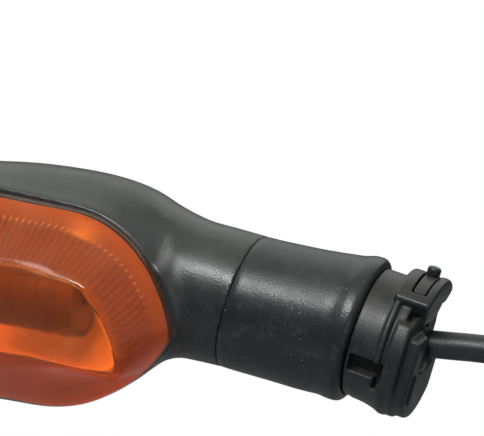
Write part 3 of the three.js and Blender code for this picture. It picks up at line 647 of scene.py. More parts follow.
def base_field(x, y, z):
    reach = np.hypot(y, z)
    form = meet(around(y, z, BASE_R), slab(x, 0, 10), 0.5)
    spigot = meet(around(y, z, SPIGOT_R, 0, -1), slab(x, -8, 2), 0.8)
    form = join(form, spigot, 0.3)
    flange = meet(around(y, z, FLANGE_R), slab(x, 8.5, 12), 0.9)
    form = join(form, meet(flange, z - 8, 0.5), 0.6)
    # the end plate, cut away behind the lead
    plate = meet(around(y, z, PLATE_R), slab(x, 11, 14.6), 1.2)
    plate = meet(plate, brick(x, y, z, (0, FAR), (-13, 11), (-16, 9), 2.5), 1.0)
    plate = cut(plate, np.maximum(12.2 - x, 5.2 - z), 0.8)
    plate = cut(plate, np.maximum(np.maximum(12.2 - x, 1.5 - z), 3.5 - y), 0.8)
    form = join(form, plate, 0.5)
    # the lower half widens towards the flange
    bell = around(y, z, BASE_R + 1.3 * np.clip((x - 2.5) / 6, 0, 1) ** 1.5)
    bell = meet(bell, slab(x, 2, 9.5), 0.5)
    form = join(form, meet(bell, z + 7, 1.5), 0.8)
    form = meet(form, np.where(x > 8, y - 11, -9.0), 0.8)
    # the latch block on top, with its leaning end
    block = meet(slab(reach, 12, 16.5), sector(y, z, -BLOCK_ANGLE, BLOCK_ANGLE), 0.9)
    block = meet(block, slab(x, 5.6, 14), 1.0)
    block = join(block, brick(x, y, z, (5.6, 13.4), (-7, 7), (6, 13), 0.8), 0.6)
    lean = (x - 13.4) * cos(BLOCK_LEAN) - (z - 11) * sin(BLOCK_LEAN)
    form = join(form, meet(block, lean - 0.3, 0.9), 0.5)
    for angles in RIB_ANGLES:
        rib = meet(slab(reach, 13, 15.6), sector(y, z, *angles), 1.2)
        form = join(form, meet(rib, slab(x, 6.2, 7.6), 0.8), 0.6)
    form = join(form, brick(x, y, z, (14, 15.2), (-9.6, -8.8), (-10, -3), 0.5), 0.4)
    # an L-shaped slot in the near side, a hollow end, the wires' passage, the latch's slit
    slot = brick(x, y, z, (0.9, 8.3), (-FAR, -9.5), (-5.6, -1.6), 0.4)
    slot = join(slot, brick(x, y, z, (6.8, 8.3), (-FAR, -9.5), (-8, -1.6), 0.4), 0.3)
    form = cut(form, slot, 0.5)
    form = cut(form, brick(x, y, z, (13, FAR), (-6, 6), (-4, 8.5), 3), 0.6)
    form = cut(form, around(y, z, np.where(x < 5, 6.0, 5.0), 0, 1.2), 0.5)
    slit = meet(slab(reach, 12.9, 19), sector(y, z, *SLIT_ANGLES), 0.3)
    return cut(form, meet(slit, slab(x, 8.6, 12.0), 0.3), 0.35)


BASE_BOX = (-8.5, -17, -17), (15.6, 17, 17.5)
mould("base_moulding", base_field, BASE_BOX, 0.27, "mounting_base", "base", "base_nylon")


def tongue_field(x, y, z):
    form = meet(slab(np.hypot(y, z), 14.7, 16.3), sector(y, z, *TONGUE_ANGLES), 0.4)
    form = meet(form, slab(x, 8.9, 11.7), 0.4)
    grip = meet(slab(np.hypot(y, z), 15.8, 16.55), sector(y, z, 4, 12.4), 0.3)
    return join(form, meet(grip, slab(x, 9.2, 11.4), 0.3), 0.3)


TONGUE_BOX = (8.5, -9, 12.5), (12.2, 5, 17)
mould("latch_arm", tongue_field, TONGUE_BOX, 0.14, "latch_tongue", "latch", "base_nylon")


def revolve(name, profile, centre=(0.0, 0.0, 0.0), axis="x", sides=96, move=None):
    """A closed solid turned about a line along axis, from (along, radius) pairs."""
    line, angle = np.array(profile, float), full_turn(sides)
    order = {"x": (0, 1, 2), "y": (1, 0, 2), "z": (2, 0, 1)}[axis]
    rings = np.zeros((len(line), sides, 3))
    rings[..., order[0]] = line[:, :1]
    rings[..., order[1]] = line[:, 1:] * np.cos(angle)
    rings[..., order[2]] = line[:, 1:] * np.sin(angle)
    rings += centre
    if move is not None:
        rings = move(*np.moveaxis(rings, -1, 0))
    return skin(name, rings)


def rounded(profile, radius, steps=5):
    """Rounds the corners of an open (along, radius) profile with short arcs."""
    line = [np.array(p, float) for p in profile]
    out = [line[0]]
    for before, here, after in zip(line, line[1:], line[2:]):
        a, b = before - here, after - here
        la, lb = np.linalg.norm(a), np.linalg.norm(b)
        r = min(radius, 0.45 * la, 0.45 * lb)
        p, q = here + a / la * r, here + b / lb * r
        for t in np.linspace(0, 1, steps):
            out.append((1 - t) ** 2 * p + 2 * t * (1 - t) * here + t**2 * q)
    out.append(line[-1])
    return out


AXIS_R = 0.01  # a profile's ends stay this far off its axis
knob_line = rounded([(16.3, AXIS_R), (16.3, 1.5), (18.25, 1.5), (18.3, AXIS_R)], 0.75, 8)
knob = revolve("latch_knob", knob_line, (10.3, 1.2, 0), "z")
stand(knob, "latch_pin", "latch", "latch_plastic")


# ---- bulb and socket
def in_lamp(x, y, z):
    return in_head(x + LAMP_AXIS[0], y + LAMP_AXIS[1], z + LAMP_AXIS[2])


def to_lamp(x, y, z):
    hx, hy, hz = to_head(x, y, z)
    return hx - LAMP_AXIS[0], hy - LAMP_AXIS[1], hz - LAMP_AXIS[2]


def tilted_box(place, low, high, margin):
    """The upright box about a box of the head's or the lamp's own frame."""
    corners = [[x, *yz] for x in (low[0], high[0]) for yz in (low[1:], high[1:])]
    points = place(*np.array(corners, float).T)
    return points.min(0) - margin, points.max(0) + margin


def lathe(name, profile, node, body, finish, radius=0.3, sides=96):
    """A turned piece about the lamp's own line, its corners rounded."""
    line = rounded(profile, radius)
    return stand(revolve(name, line, sides=sides, move=in_lamp), node, body, finish)


def make_bulb_glass():
    centre, outer_r, inner_r = -9.5, 9.4, 8.6

    def globe(radius):
        turn = np.linspace(pi, 0.26 * pi, 40)
        return [(centre + radius * cos(a), max(radius * sin(a), AXIS_R)) for a in turn]

    out = globe(outer_r) + [(-1.8, 6.55), (0.5, 6.2), (6.3, 6.2), (6.5, 6.0)]
    inner = globe(inner_r) + [(-2.0, 5.75), (0.2, 5.4), (6.5, 5.4)]
    return revolve("bulb_envelope", out + inner[::-1], move=in_lamp)


stand(make_bulb_glass(), "bulb_glass", "bulb", "bulb_glass")
lathe(
    "bulb_base",
    [(12, AXIS_R), (12, 6.6), (2.2, 6.6), (2.2, 7.4), (4.2, 7.4), (4.6, 7.15), (5, 7.4),
     (15.2, 7.4), (16.2, 6.5), (16.2, AXIS_R)],
    "bulb_cap", "bulb", "bulb_brass",
)
for i, side in enumerate((-1, 1)):
    low, high = side * 7.0, side * 8.5
    line = rounded([(low, AXIS_R), (low, 1.0), (high, 1.0), (high, AXIS_R)], 0.3)
    bayonet_pin = revolve(f"bayonet_pin_{i}", line, (9, 0, 0), "z", 40, in_lamp)
    stand(bayonet_pin, "bulb_cap", "bulb", "bulb_brass")
lathe(
    "bulb_tip", [(16, AXIS_R), (16, 1.9), (16.6, 1.8), (17.1, 1.2), (17.3, AXIS_R)],
    "bulb_contact", "bulb", "solder", 0.3, 48,
)


def make_filament():
    """Two supports and a fine coil hung between them."""
    support_r, wire_r, coil_r, turns, sag = 0.26, 0.09, 0.42, 21, 0.5
    t = np.linspace(0, 1, 420)
    winding = t * TAU * turns
    x = -8.2 + coil_r * np.cos(winding) - sag * np.sin(pi * t)
    coil = np.stack([x, -3.1 + 6.2 * t, coil_r * np.sin(winding)], 1)
    leads = catmull([(9, -2, 0), (2, -2.2, 0), (-6, -3.0, 0), (-8, -3.2, 0)], per=12)
    back = catmull([(-8, 3.2, 0), (-6, 3.0, 0), (2, 2.2, 0), (9, 2, 0)], per=12)
    path = np.vstack([leads, coil, back])
    radius = np.repeat([support_r, wire_r, support_r], [len(leads), len(coil), len(back)])
    return sweep("filament_coil", in_lamp(*path.T), radius, 8)


stand(make_filament(), "bulb_filament", "bulb", "filament")


def socket_field(x, y, z):
    lx, ly, lz = to_lamp(x, y, z)
    reach = np.hypot(ly, lz)
    sleeve = meet(slab(reach, 7.9, 8.75), slab(lx, 3, 24.5), 0.3)
    for ring, radius, k in ((3.6, 0.6, 0.4), (16.2, 0.45, 0.5), (20.6, 0.45, 0.5)):
        sleeve = join(sleeve, around(lx, reach, radius, ring, 8.6), k)
    slot = meet(slab(lx, -2, 13.5), slab(ly, -1.4, 1.4), 0.3)
    hook = meet(slab(lx, 10.7, 13.5), slab(ly, -1.4, 4.5), 0.3)
    return cut(sleeve, np.minimum(slot, hook), 0.3)


SOCKET_BOX = tilted_box(in_lamp, (2, -9.5, -9.5), (25.5, 9.5, 9.5), 3.5)
mould("socket_sleeve", socket_field, SOCKET_BOX, 0.33, "socket_shell", "head", "aged_plating")


def disc_field(x, y, z):
    lx, ly, lz = to_lamp(x, y, z)
    return meet(slab(np.hypot(ly, lz), 1.5, 7.5), slab(lx, 22.3, 24.2), 0.25)


mould("socket_disc", disc_field, SOCKET_BOX, 0.3, "socket_insulator", "head", "insulator_board")
lathe(
    "plunger_contact",
    [(17.7, AXIS_R), (17.6, 1.4), (17.8, 2.4), (18.5, 3), (19, 3), (19, 0.9), (23.4, 0.9),
     (23.4, AXIS_R)],
    "contact_plunger", "plunger", "contact_brass", 0.2, 48,
)
SPRING_START, SPRING_PITCH, SPRING_R, SPRING_WIRE_R = 19.6, 0.7, 1.9, 0.24
turns = np.linspace(0, 3, 160)
spring_path = in_lamp(
    SPRING_START + SPRING_PITCH * turns,
    SPRING_R * np.cos(TAU * turns), SPRING_R * np.sin(TAU * turns),
)
spring = sweep("contact_coil", spring_path, SPRING_WIRE_R, 12)
stand(spring, "contact_spring", None, "plated_steel")


def bracket_field(x, y, z):
    lx, ly, lz = to_lamp(x, y, z)
    saddle = meet(slab(np.hypot(ly, lz), 9.1, 10.1), slab(lz, -5.5, 5.5), 0.3)
    saddle = meet(meet(saddle, slab(lx, 8, 20), 0.4), -ly, 0.3)
    leg = meet(meet(slab(ly, 9.6, 14.4), slab(lx, 11.5, 16.5), 0.4), slab(lz, -3, 3), 0.4)
    return cut(join(saddle, leg, 0.8), around(lx, lz, 1.2, 14, 0), 0.2)


BRACKET_BOX = tilted_box(in_lamp, (7, 4, -7), (21, 16, 7), 2)
mould("lamp_bracket", bracket_field, BRACKET_BOX, 0.3, "socket_bracket", "head", "aged_plating")
rivet_line = [(11.6, AXIS_R), (11.6, 0.9), (17, 0.9), (17, 2), (17.5, 1.7), (17.8, AXIS_R)]
rivet = revolve("rivet", rounded(rivet_line, 0.2), (14, 0, 0), "y", 48, in_lamp)
stand(rivet, "bracket_rivet", "head", "plated_steel")


# ---- seal, screw, grommet
def make_gasket():
    angle = full_turn(360, -pi)
    section = [
        (0.1, 1.1), (0.3, 0.9), (1.3, 0.9), (1.5, 1.1),
        (1.5, 2.7), (1.3, 2.9), (0.3, 2.9), (0.1, 2.7),
    ]
    rings = []
    for y, inset in section:
        reach = lens_outline(angle) - inset
        rings.append(in_head(reach * np.cos(angle), np.full(360, y), reach * np.sin(angle)))
    return torus_skin("lens_seal", rings)


stand(make_gasket(), "lens_gasket", "head", "seal_rubber")


def screw_field(x, y, z):
    hx, hy, hz = to_head(x, y, z)
    u, v = hx - SCREW_AT[0], hz - SCREW_AT[1]
    reach = np.hypot(u, v)
    pitch, thread_depth, shank_r, head_r = 1.2, 0.16, 1.05, 2.7
    arm_half, arm_reach, cross_floor = 0.35, 1.6, 10.5
    thread = thread_depth * np.cos(TAU * hy / pitch - np.arctan2(v, u))
    shank = meet(reach - shank_r + thread, slab(hy, -3.6, 9.6), 0.3)
    head_part = meet(reach - head_r, slab(hy, 9.5, 11.6), 0.9)
    along = np.maximum(np.abs(v) - arm_half, np.abs(u) - arm_reach)
    over = np.maximum(np.abs(u) - arm_half, np.abs(v) - arm_reach)
    cross = np.maximum(np.minimum(over, along), cross_floor - hy)
    return cut(join(shank, head_part, 0.2), cross, 0.15)


SCREW_BOX = tilted_box(in_head, (-36, -5, -6), (-28.5, 13, 1.5), 0.5)
mould("cross_head_screw", screw_field, SCREW_BOX, 0.19, "lens_screw", "head", "plated_steel")


def make_screw_seal():
    radius, depth, half_width, half_height = 2.1, 8.75, 0.65, 0.42
    turn = full_turn(48)
    rings = []
    for b in full_turn(16):
        reach = radius + half_width * cos(b)
        y = np.full(len(turn), depth + half_height * sin(b))
        x, z = SCREW_AT[0] + reach * np.cos(turn), SCREW_AT[1] + reach * np.sin(turn)
        rings.append(in_head(x, y, z))
    return torus_skin("screw_ring", rings)


stand(make_screw_seal(), "screw_seal", "head", "seal_rubber")
GROMMET_LINE = [
    (6, AXIS_R), (6, 4.2), (7, 4.2), (7.3, 4.0), (7.7, 4.4), (9, 4.6), (10.5, 4.6), (10.5, 4.2),
    (13.2, 3.6), (13.2, AXIS_R),
]
grommet = revolve("lead_grommet", rounded(GROMMET_LINE, 0.25), (0, 0, 1.6))
stand(grommet, "cable_grommet", "base", "seal_rubber")


# ---- wires through the stem
WIRE_START, WIRE_R = 25.7, 0.8


def make_wire(name, side, y, z):
    """A wire from the socket, at y and z in the lamp's frame, to one side of the base."""
    x0, y0, z0 = np.array(LAMP_AXIS) + (WIRE_START, y, z)
    first = in_head(
        np.array([x0, 29, 36]), np.array([y0, 10 + side, 12.5 + side]), np.array([z0, 1.5, 4])
    )
    rest = [
        (-36, side, SEAM_Z - 0.5), (-28, side, SEAM_Z), (-20, side, -2.6), (-12, side, -1.6),
        (-4, side, -0.2), (5.5, side, 1.2),
    ]
    return sweep(name, catmull(np.vstack([first, rest]), per=12), WIRE_R, 20)


wires = []
for name, node, side, y, finish in (
    ("live_core", "live_wire", -1.6, -1, "live_insulation"),
    ("earth_core", "earth_wire", 1.6, 3, "earth_insulation"),
):
    wires.append(stand(make_wire(name, side, y, 1), node, None, finish))


# ---- connector
PLUG_LOW = PLUG_TOP - 27
TERMINAL_AT = 2.6


def plug_field(x, y, z):
    u = x - PLUG_X
    body = brick(u, y, z, (-7, 7), (-5.25, 5.25), (PLUG_LOW, PLUG_TOP), 1.3)
    for low in (-164.2, -166.4, -168.6):
        grip = brick(u, y, z, (-6.9, 6.9), (-5.6, 5.6), (low - 0.45, low + 0.45), 0.5)
        body = join(body, meet(grip, y + 4.9, 0.2), 0.4)
    collar = brick(u, y, z, (-7.0, 7.0), (-5.25, 5.25), (PLUG_LOW, PLUG_LOW + 1.6), 0.5)
    body = join(body, collar, 0.5)
    for at in (-4.4, 4.4):
        rail = brick(u, y, z, (at - 0.9, at + 0.9), (4.7, 8.05), (PLUG_LOW + 5, PLUG_LOW + 19), 0.5)
        body = join(body, rail, 0.5)
    groove = brick(u, y, z, (-2.2, 2.2), (-6, -4.8), (PLUG_LOW + 2.6, PLUG_LOW + 11.5), 0.3)
    body = cut(body, groove, 0.3)
    mouth = brick(u, y, z, (-5.2, 5.2), (-3.4, 3.4), (PLUG_LOW - 2, PLUG_LOW + 15), 0.8)
    body = cut(body, mouth, 0.4)
    body = cut(body, meet(around(u, y, 4), slab(z, PLUG_TOP - 3, 0), 0.2), 0.3)
    for at in (-TERMINAL_AT, TERMINAL_AT):
        body = cut(body, meet(around(u, y, 1.3, at, 0), slab(z, PLUG_LOW + 10, 0), 0.2), 0.2)
    return body


PLUG_BOX = (PLUG_X - 7.6, -6.1, PLUG_LOW - 0.6), (PLUG_X + 7.6, 8.6, PLUG_TOP + 0.6)
mould("plug_housing", plug_field, PLUG_BOX, 0.3, "connector_housing", "base", "connector_nylon")
TERMINAL_LINE = [(7, AXIS_R), (7.6, 0.7), (9, 0.8), (22, 0.8), (22, AXIS_R)]
for node, at in (("connector_pin_live", -TERMINAL_AT), ("connector_pin_earth", TERMINAL_AT)):
    line = rounded([(PLUG_LOW + up, r) for up, r in TERMINAL_LINE], 0.3)
    terminal = revolve(node + "_terminal", line, (PLUG_X + at, 0, 0), "z", 36)
    stand(terminal, node, "base", "contact_brass")
RIBS, RIB_PITCH, RIB_TAPER = 6, 0.9, 0.12
boot_line = [(-2.6, AXIS_R), (-2.6, 3.6), (0.6, 3.6), (0.6, 4.4), (2, 4.4)]
boot_line += [(2.2 + RIB_PITCH * i + up, r - RIB_TAPER * i)
              for i in range(RIBS) for up, r in ((0, 3.9), (RIB_PITCH / 2, 4.25))]
boot_line += [(8, 3.4), (8, AXIS_R)]
boot_line = rounded([(PLUG_TOP + up, r) for up, r in boot_line], 0.22)
boot = revolve("wire_boot", boot_line, (PLUG_X, 0, 0), "z", 72)
stand(boot, "connector_seal", "base", "seal_rubber")


def lever_field(x, y, z):
    u = x - PLUG_X
    arm = brick(u, y, z, (-3.1, 3.1), (6.35, 7.65), (PLUG_LOW + 1, PLUG_LOW + 21), 0.4)
    hook = brick(u, y, z, (-3.1, 3.1), (5.65, 6.5), (PLUG_LOW + 1, PLUG_LOW + 3), 0.3)
    form = join(arm, hook, 0.4)
    for i in range(4):
        low = PLUG_LOW + 17.1 + i
        form = join(form, brick(u, y, z, (-3, 3), (7.2, 8.45), (low, low + 0.6), 0.25), 0.35)
    return form


LEVER_BOX = (PLUG_X - 3.6, 5.2, PLUG_LOW + 0.5), (PLUG_X + 3.6, 8.8, PLUG_LOW + 21.5)
mould("release_lever", lever_field, LEVER_BOX, 0.2, "connector_lever", "lever", "connector_nylon")


# ---- floor and light
FLOOR_Z = -0.24
FLOOR_NEAR, FLOOR_FAR, BEND_R, WALL_TOP, HALF_WIDTH = -2.2, 1.2, 0.9, 3.2, 3.0


def add_stage():
    """A pale sweep: a floor that turns up into a wall far behind."""
    line = [(FLOOR_NEAR, 0), (FLOOR_FAR, 0)]
    for a in np.linspace(0, pi / 2, 14):
        line.append((FLOOR_FAR + BEND_R * sin(a), BEND_R - BEND_R * cos(a)))
    line.append((FLOOR_FAR + BEND_R, WALL_TOP))
    points = [(x, y, z + FLOOR_Z) for x in (-HALF_WIDTH, HALF_WIDTH) for y, z in line]
    n = len(line)
    faces = [(i, i + 1, n + i + 1, n + i) for i in range(n - 1)]
    piece = link_mesh("backdrop", np.array(points) / MM, faces)
    return piece


backdrop = add_stage()
LIT_POINT = Vector((-0.03, 0, -0.01))
STRIP_AWAY = 0.65


def area_light(name, size, size_y, energy):
    data = bpy.data.lights.new(name, "AREA")
    data.shape = "RECTANGLE"
    data.size, data.size_y, data.energy = size, size_y, energy
    return linked(name, data)


def add_panel(name, size, size_y, energy, place):
    lamp = area_light(name, size, size_y, energy)
    lamp.location = place
    lamp.rotation_euler = (LIT_POINT - place).to_track_quat("-Z", "Y").to_euler()


def add_strip(name, start, end, width, energy):
    """A long narrow light between two (azimuth, elevation) pairs, facing the lamp."""
    start, end = (towards(*angles, STRIP_AWAY) for angles in (start, end))
    middle = (start + end) / 2
    along = (end - start).normalized()
    away = middle - LIT_POINT
    away = (away - along * away.dot(along)).normalized()
    across = away.cross(along)
    lamp = area_light(name, (end - start).length, width, energy)
    lamp.matrix_world = placed(along, across, away, middle)


def towards(azimuth, elevation, distance):
    """A place seen from the stem; the azimuth is from the front, positive inboard."""
    a, e = radians(azimuth), radians(elevation)
    return Vector((
        distance * sin(a) * cos(e),
        -distance * cos(a) * cos(e),
        distance * sin(e),
    ))


add_strip("front_strip", (0, 41), (-36, 39), 0.1, 2.5)
add_strip("lens_strip", (-40, 45), (-56, 47), 0.16, 0.3)
add_panel("back_light", 1.5, 0.9, 3.4, towards(196, 38, 0.95))
add_panel("fill_light", 0.5, 0.5, 0.4, towards(42, 10, 0.9))

world = bpy.data.worlds.new("world")
scene.world = world
world.use_nodes = True
sky = world.node_tree.nodes["Background"].inputs
sky["Color"].default_value = (0.92, 0.96, 1.0, 1)
sky["Strength"].default_value = 0.10
scene.view_settings.view_transform = "Standard"


# ---- materials
class Nodes:
    """A small builder for a material's node tree."""

    def __init__(self, name):
        self.material = bpy.data.materials.new(name)
        self.material.use_nodes = True
        self.tree = self.material.node_tree
        self.tree.nodes.clear()
        self.output = self.add("OutputMaterial")
        self.place = self.add("TexCoord").outputs["Object"]

    def add(self, kind, **values):
        """A shader node, given its inputs' values or the sockets that feed them."""
        node = self.tree.nodes.new("ShaderNode" + kind)
        for key, value in values.items():
            self.put(node.inputs[key.replace("_", " ")], value)
        return node

    def put(self, socket, value):
        if isinstance(value, bpy.types.NodeSocket):
            self.tree.links.new(value, socket)
        elif isinstance(value, tuple) and len(value) == 3 and socket.type == "RGBA":
            socket.default_value = (*value, 1)
        else:
            socket.default_value = value

    def noise(self, scale, detail=3.0, roughness=0.5):
        """Noise with a feature size of about 1/scale metres."""
        values = {"Scale": scale, "Detail": detail, "Roughness": roughness}
        return self.add("TexNoise", Vector=self.place, **values).outputs["Fac"]

    def span(self, value, low, high, out_low=0.0, out_high=1.0):
        """A smooth step of value from low to high, between out_low and out_high."""
        node = self.add(
            "MapRange",
            Value=value, From_Min=low, From_Max=high, To_Min=out_low, To_Max=out_high,
        )
        node.interpolation_type = "SMOOTHSTEP"
        return node.outputs["Result"]

    def math(self, operation, a, b):
        node = self.add("Math")
        node.operation = operation
        self.put(node.inputs[0], a)
        self.put(node.inputs[1], b)
        return node.outputs[0]

    def times(self, a, b):
        return self.math("MULTIPLY", a, b)

    def mix(self, factor, a, b):
        node = self.add("Mix")
        node.data_type = "RGBA"
        self.put(node.inputs[0], factor)
        self.put(node.inputs[6], a)
        self.put(node.inputs[7], b)
        return node.outputs[2]

    def bump(self, height, distance, strength=1.0, normal=None):
        node = self.add("Bump", Strength=strength, Distance=distance, Height=height)
        if normal is not None:
            self.put(node.inputs["Normal"], normal)
        return node.outputs["Normal"]

    def principled(self, **values):
        return self.add("BsdfPrincipled", **values).outputs[0]

    def blend(self, factor, first, second):
        node = self.add("MixShader")
        for socket, value in zip(node.inputs, (factor, first, second)):
            self.put(socket, value)
        return node.outputs[0]

    def attribute(self, name):
        node = self.add("Attribute")
        node.attribute_name = name
        return node.outputs["Fac"]

    def part_of(self, vector, letter):
        """One component of a vector."""
        return self.add("SeparateXYZ", Vector=vector).outputs[letter]

    def done(self, shader):
        self.tree.links.new(shader, self.output.inputs["Surface"])
        return self.material


def moulded(name, dark, dust_and_light_tone, roughness, grain, peel=0.0, dust_and_light_amount=0.5, specks=0.0):
    """Weathered moulded plastic or rubber: fine grain, a lighter tone where it faces up that is
    partly dust and partly painted top light, faint scuffs.
    """
    n = Nodes(name)
    patches = n.noise(90, 4, 0.6)
    fine = n.noise(2600, 2)
    scuffs = n.span(n.noise(420, 5, 0.65), 0.52, 0.72)
    upward = n.part_of(n.add("NewGeometry").outputs["Normal"], "Z")
    tone = n.mix(n.span(patches, 0.35, 0.7), dark, tuple(c * 1.35 for c in dark))
    # painted top light with dust: faces that look up are mixed towards the lighter tone
    dust_and_top_light = n.times(n.span(upward, -0.1, 0.95), dust_and_light_amount)
    dust_and_top_light = n.times(dust_and_top_light, n.span(patches, 0.2, 0.6, 0.75, 1.0))
    tone = n.mix(dust_and_top_light, tone, dust_and_light_tone)
    tone = n.mix(n.times(scuffs, 0.12), tone, tuple(min(1, c * 2.2) for c in dust_and_light_tone))
    if specks:
        dots = n.add("TexVoronoi", Scale=420.0, Vector=n.place)
        spot = n.math("LESS_THAN", dots.outputs["Distance"], 0.09)
        spot = n.times(spot, n.span(n.noise(300, 1), 0.56, 0.6))
        tone = n.mix(n.times(spot, specks), tone, (0.3, 0.31, 0.3))
    shine = n.span(patches, 0.3, 0.7, roughness - 0.05, roughness + 0.07)
    shine = n.math("ADD", shine, n.times(dust_and_top_light, 0.12))
    normal = n.bump(n.times(fine, grain), 0.00012)
    if peel:
        normal = n.bump(n.noise(1000, 2), 0.0003, peel, normal)
    return n.done(n.principled(Base_Color=tone, Roughness=shine, Normal=normal))


def metal(name, colour, roughness, brushed=0.0, metallic=1.0):
    n = Nodes(name)
    patches = n.noise(160, 4, 0.6)
    tone = n.mix(n.span(patches, 0.3, 0.75), colour, tuple(c * 0.72 for c in colour))
    shine = n.span(patches, 0.3, 0.7, roughness, roughness + 0.15)
    normal = n.bump(n.noise(2200, 3), 0.00006, 0.3 + brushed)
    return n.done(n.principled(Base_Color=tone, Roughness=shine, Metallic=metallic, Normal=normal))


def seen_through(n, shader, tint):
    """Lets lamps shine through: shadow rays pass a plain tinted film."""
    film = n.add("BsdfTransparent", Color=tint).outputs[0]
    return n.blend(n.add("LightPath").outputs["Is Shadow Ray"], shader, film)


AMBER = (0.93, 0.37, 0.085)


def amber_clear():
    """Clear amber plastic under a thin, uneven whitish film, partly dust and partly a painted
    sheen, thinner on the window.
    """
    n = Nodes("amber_clear")
    clouds = n.noise(140, 3)
    tone = n.mix(n.span(clouds, 0.3, 0.7), AMBER, (0.90, 0.33, 0.07))
    shine = n.span(n.noise(260, 4, 0.6), 0.4, 0.75, 0.09, 0.15)
    normal = n.bump(n.noise(60, 2), 0.0006, 0.12)
    clear = n.principled(
        Base_Color=tone, Roughness=shine, Transmission_Weight=1.0, IOR=1.49, Normal=normal
    )
    # painted sheen with dust: a whitish diffuse film mixed over the clear amber
    film = n.add("BsdfDiffuse", Color=(0.80, 0.66, 0.54)).outputs[0]
    dust_and_sheen = n.span(n.noise(110, 4, 0.6), 0.3, 0.75, 0.03, 0.075)
    less_on_window = n.math("SUBTRACT", 1.0, n.times(n.attribute("window"), 0.6))
    dusty = n.blend(n.times(dust_and_sheen, less_on_window), clear, film)
    return n.done(seen_through(n, dusty, (0.95, 0.62, 0.36)))


def amber_flutes():
    """The diffusing band: painted shade in the grooves, a painted glow on the dots where the flutes
    start, and a faint painted glow on the rim.
    """
    n = Nodes("amber_flutes")
    groove, glow, rim = n.attribute("groove"), n.attribute("glow"), n.attribute("rim")
    clouds = n.noise(70, 3)
    tone = n.mix(n.span(clouds, 0.3, 0.7), (0.43, 0.22, 0.12), (0.33, 0.15, 0.08))
    tone = n.mix(rim, tone, (0.80, 0.30, 0.08))
    # painted shade: the grooves darkened
    tone = n.mix(n.times(groove, 0.6), tone, (0.16, 0.05, 0.02))
    # painted glow: the dots get a bright tone and, with the rim faintly, emission
    tone = n.mix(glow, tone, (1.0, 0.5, 0.12))
    lit = n.math("ADD", n.times(glow, 0.55), n.times(rim, 0.05))
    solid = n.principled(
        Base_Color=tone, Roughness=0.35, Emission_Color=(1.0, 0.36, 0.10), Emission_Strength=lit
    )
    light = n.add("BsdfTranslucent", Color=(0.9, 0.36, 0.10)).outputs[0]
    return n.done(seen_through(n, n.blend(0.4, solid, light), (0.95, 0.58, 0.3)))


def clear_glass():
    n = Nodes("clear_glass")
    shine = n.span(n.noise(300, 3), 0.4, 0.8, 0.0, 0.04)
    shader = n.principled(
        Base_Color=(0.97, 0.97, 0.97), Roughness=shine, Transmission_Weight=1.0, IOR=1.5
    )
    return n.done(seen_through(n, shader, (0.95, 0.95, 0.95)))


def backdrop_white():
    """White to the camera, and a mid grey to the light that it returns."""
    n = Nodes("backdrop_white")
    tone = n.mix(n.noise(3, 2), (0.44, 0.44, 0.44), (0.48, 0.48, 0.48))
    matt = n.add("BsdfDiffuse", Color=tone).outputs[0]
    light = n.add("Emission", Color=(1, 1, 1), Strength=1.0).outputs[0]
    return n.done(n.blend(n.add("LightPath").outputs["Is Camera Ray"], matt, light))


def reflector_look():
    """Bright bowl with a painted glow: emission along its walls, stronger inboard, stands in for
    the light caught behind the lens.
    """
    n = Nodes("reflector_chrome")
    patches = n.noise(120, 3)
    # painted glow: emission in patches, stronger towards the inboard side
    inboard_painted_glow = n.span(n.part_of(n.place, "X"), -0.064, -0.052)
    painted_glow = n.span(patches, 0.3, 0.7, 0.12, 0.20)
    return n.done(n.principled(
        Base_Color=(0.84, 0.66, 0.50),
        Roughness=n.span(patches, 0.3, 0.7, 0.18, 0.28),
        Metallic=0.25,
        Emission_Color=(1.0, 0.50, 0.22),
        Emission_Strength=n.math("ADD", painted_glow, n.times(inboard_painted_glow, 0.28)),
    ))


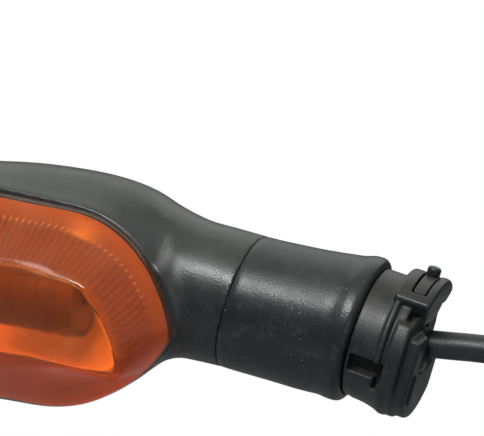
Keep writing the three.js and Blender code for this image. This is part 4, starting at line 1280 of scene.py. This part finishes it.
# a grey for dust and painted top light on faces that look up
GREY_DUST_AND_LIGHT = (0.105, 0.115, 0.10)
MOULDED = {
    # dark tone, dust and painted top light tone, roughness, grain, orange peel, share of dust and
    # painted top light, specks
    "housing_plastic": ((0.020, 0.0235, 0.026), GREY_DUST_AND_LIGHT, 0.27, 0.3, 0.03, 0.7),
    "stem_rubber": ((0.017, 0.0205, 0.025), GREY_DUST_AND_LIGHT, 0.28, 0.4, 0.03, 0.5, 0.5),
    "base_nylon": ((0.019, 0.0225, 0.0255), (0.105, 0.105, 0.09), 0.34, 0.4, 0.03, 0.5),
    "latch_plastic": ((0.018, 0.021, 0.024), GREY_DUST_AND_LIGHT, 0.24, 0.3, 0.0, 0.3),
    "seal_rubber": ((0.016, 0.016, 0.018), GREY_DUST_AND_LIGHT, 0.55, 0.6),
    "cable_sheath": ((0.022, 0.025, 0.029), GREY_DUST_AND_LIGHT, 0.34, 0.5, 0.1, 0.35),
    "connector_nylon": ((0.03, 0.032, 0.034), (0.1, 0.11, 0.1), 0.45, 0.8, 0.1, 0.4),
    "live_insulation": ((0.02, 0.05, 0.25), (0.1, 0.14, 0.3), 0.35, 0.3, 0, 0.2),
    "earth_insulation": ((0.01, 0.16, 0.04), (0.1, 0.2, 0.12), 0.35, 0.3, 0, 0.2),
    "insulator_board": ((0.16, 0.085, 0.04), (0.3, 0.24, 0.18), 0.6, 0.9, 0.1, 0.3),
}
METAL = {
    # colour, roughness, brushing, metallic
    "plated_steel": ((0.46, 0.46, 0.44), 0.32, 0.2),
    "aged_plating": ((0.24, 0.20, 0.17), 0.5, 0.2, 0.3),
    "bulb_brass": ((0.62, 0.52, 0.32), 0.3, 0.1),
    "solder": ((0.5, 0.5, 0.52), 0.4, 0.2),
    "filament": ((0.3, 0.3, 0.32), 0.35),
    "contact_brass": ((0.72, 0.55, 0.24), 0.25),
}
looks = {name: moulded(name, *values) for name, values in MOULDED.items()}
looks |= {name: metal(name, *values) for name, values in METAL.items()}
looks |= {"reflector_chrome": reflector_look(), "bulb_glass": clear_glass()}


def dress(piece, *materials):
    piece.data.materials.clear()
    for material in materials:
        piece.data.materials.append(material)


for piece in scene.collection.objects:
    if piece.get("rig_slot") in looks:
        dress(piece, looks[piece["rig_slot"]])
dress(backdrop, backdrop_white())
band_or_window = np.zeros(len(lens.data.polygons), np.int32)
lens.data.polygons.foreach_get("material_index", band_or_window)
dress(lens, amber_clear(), amber_flutes())
lens.data.polygons.foreach_set("material_index", band_or_window)


# ---- the stem, wires and spring baked in place, and the coil's end points
for soft in (stem, *wires):
    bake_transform(soft)
coil_start, coil_end = (tuple(in_lamp(x, 0, 0) * MM) for x in (19.8, 21.5))
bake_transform(spring)

bpy.context.view_layer.update()
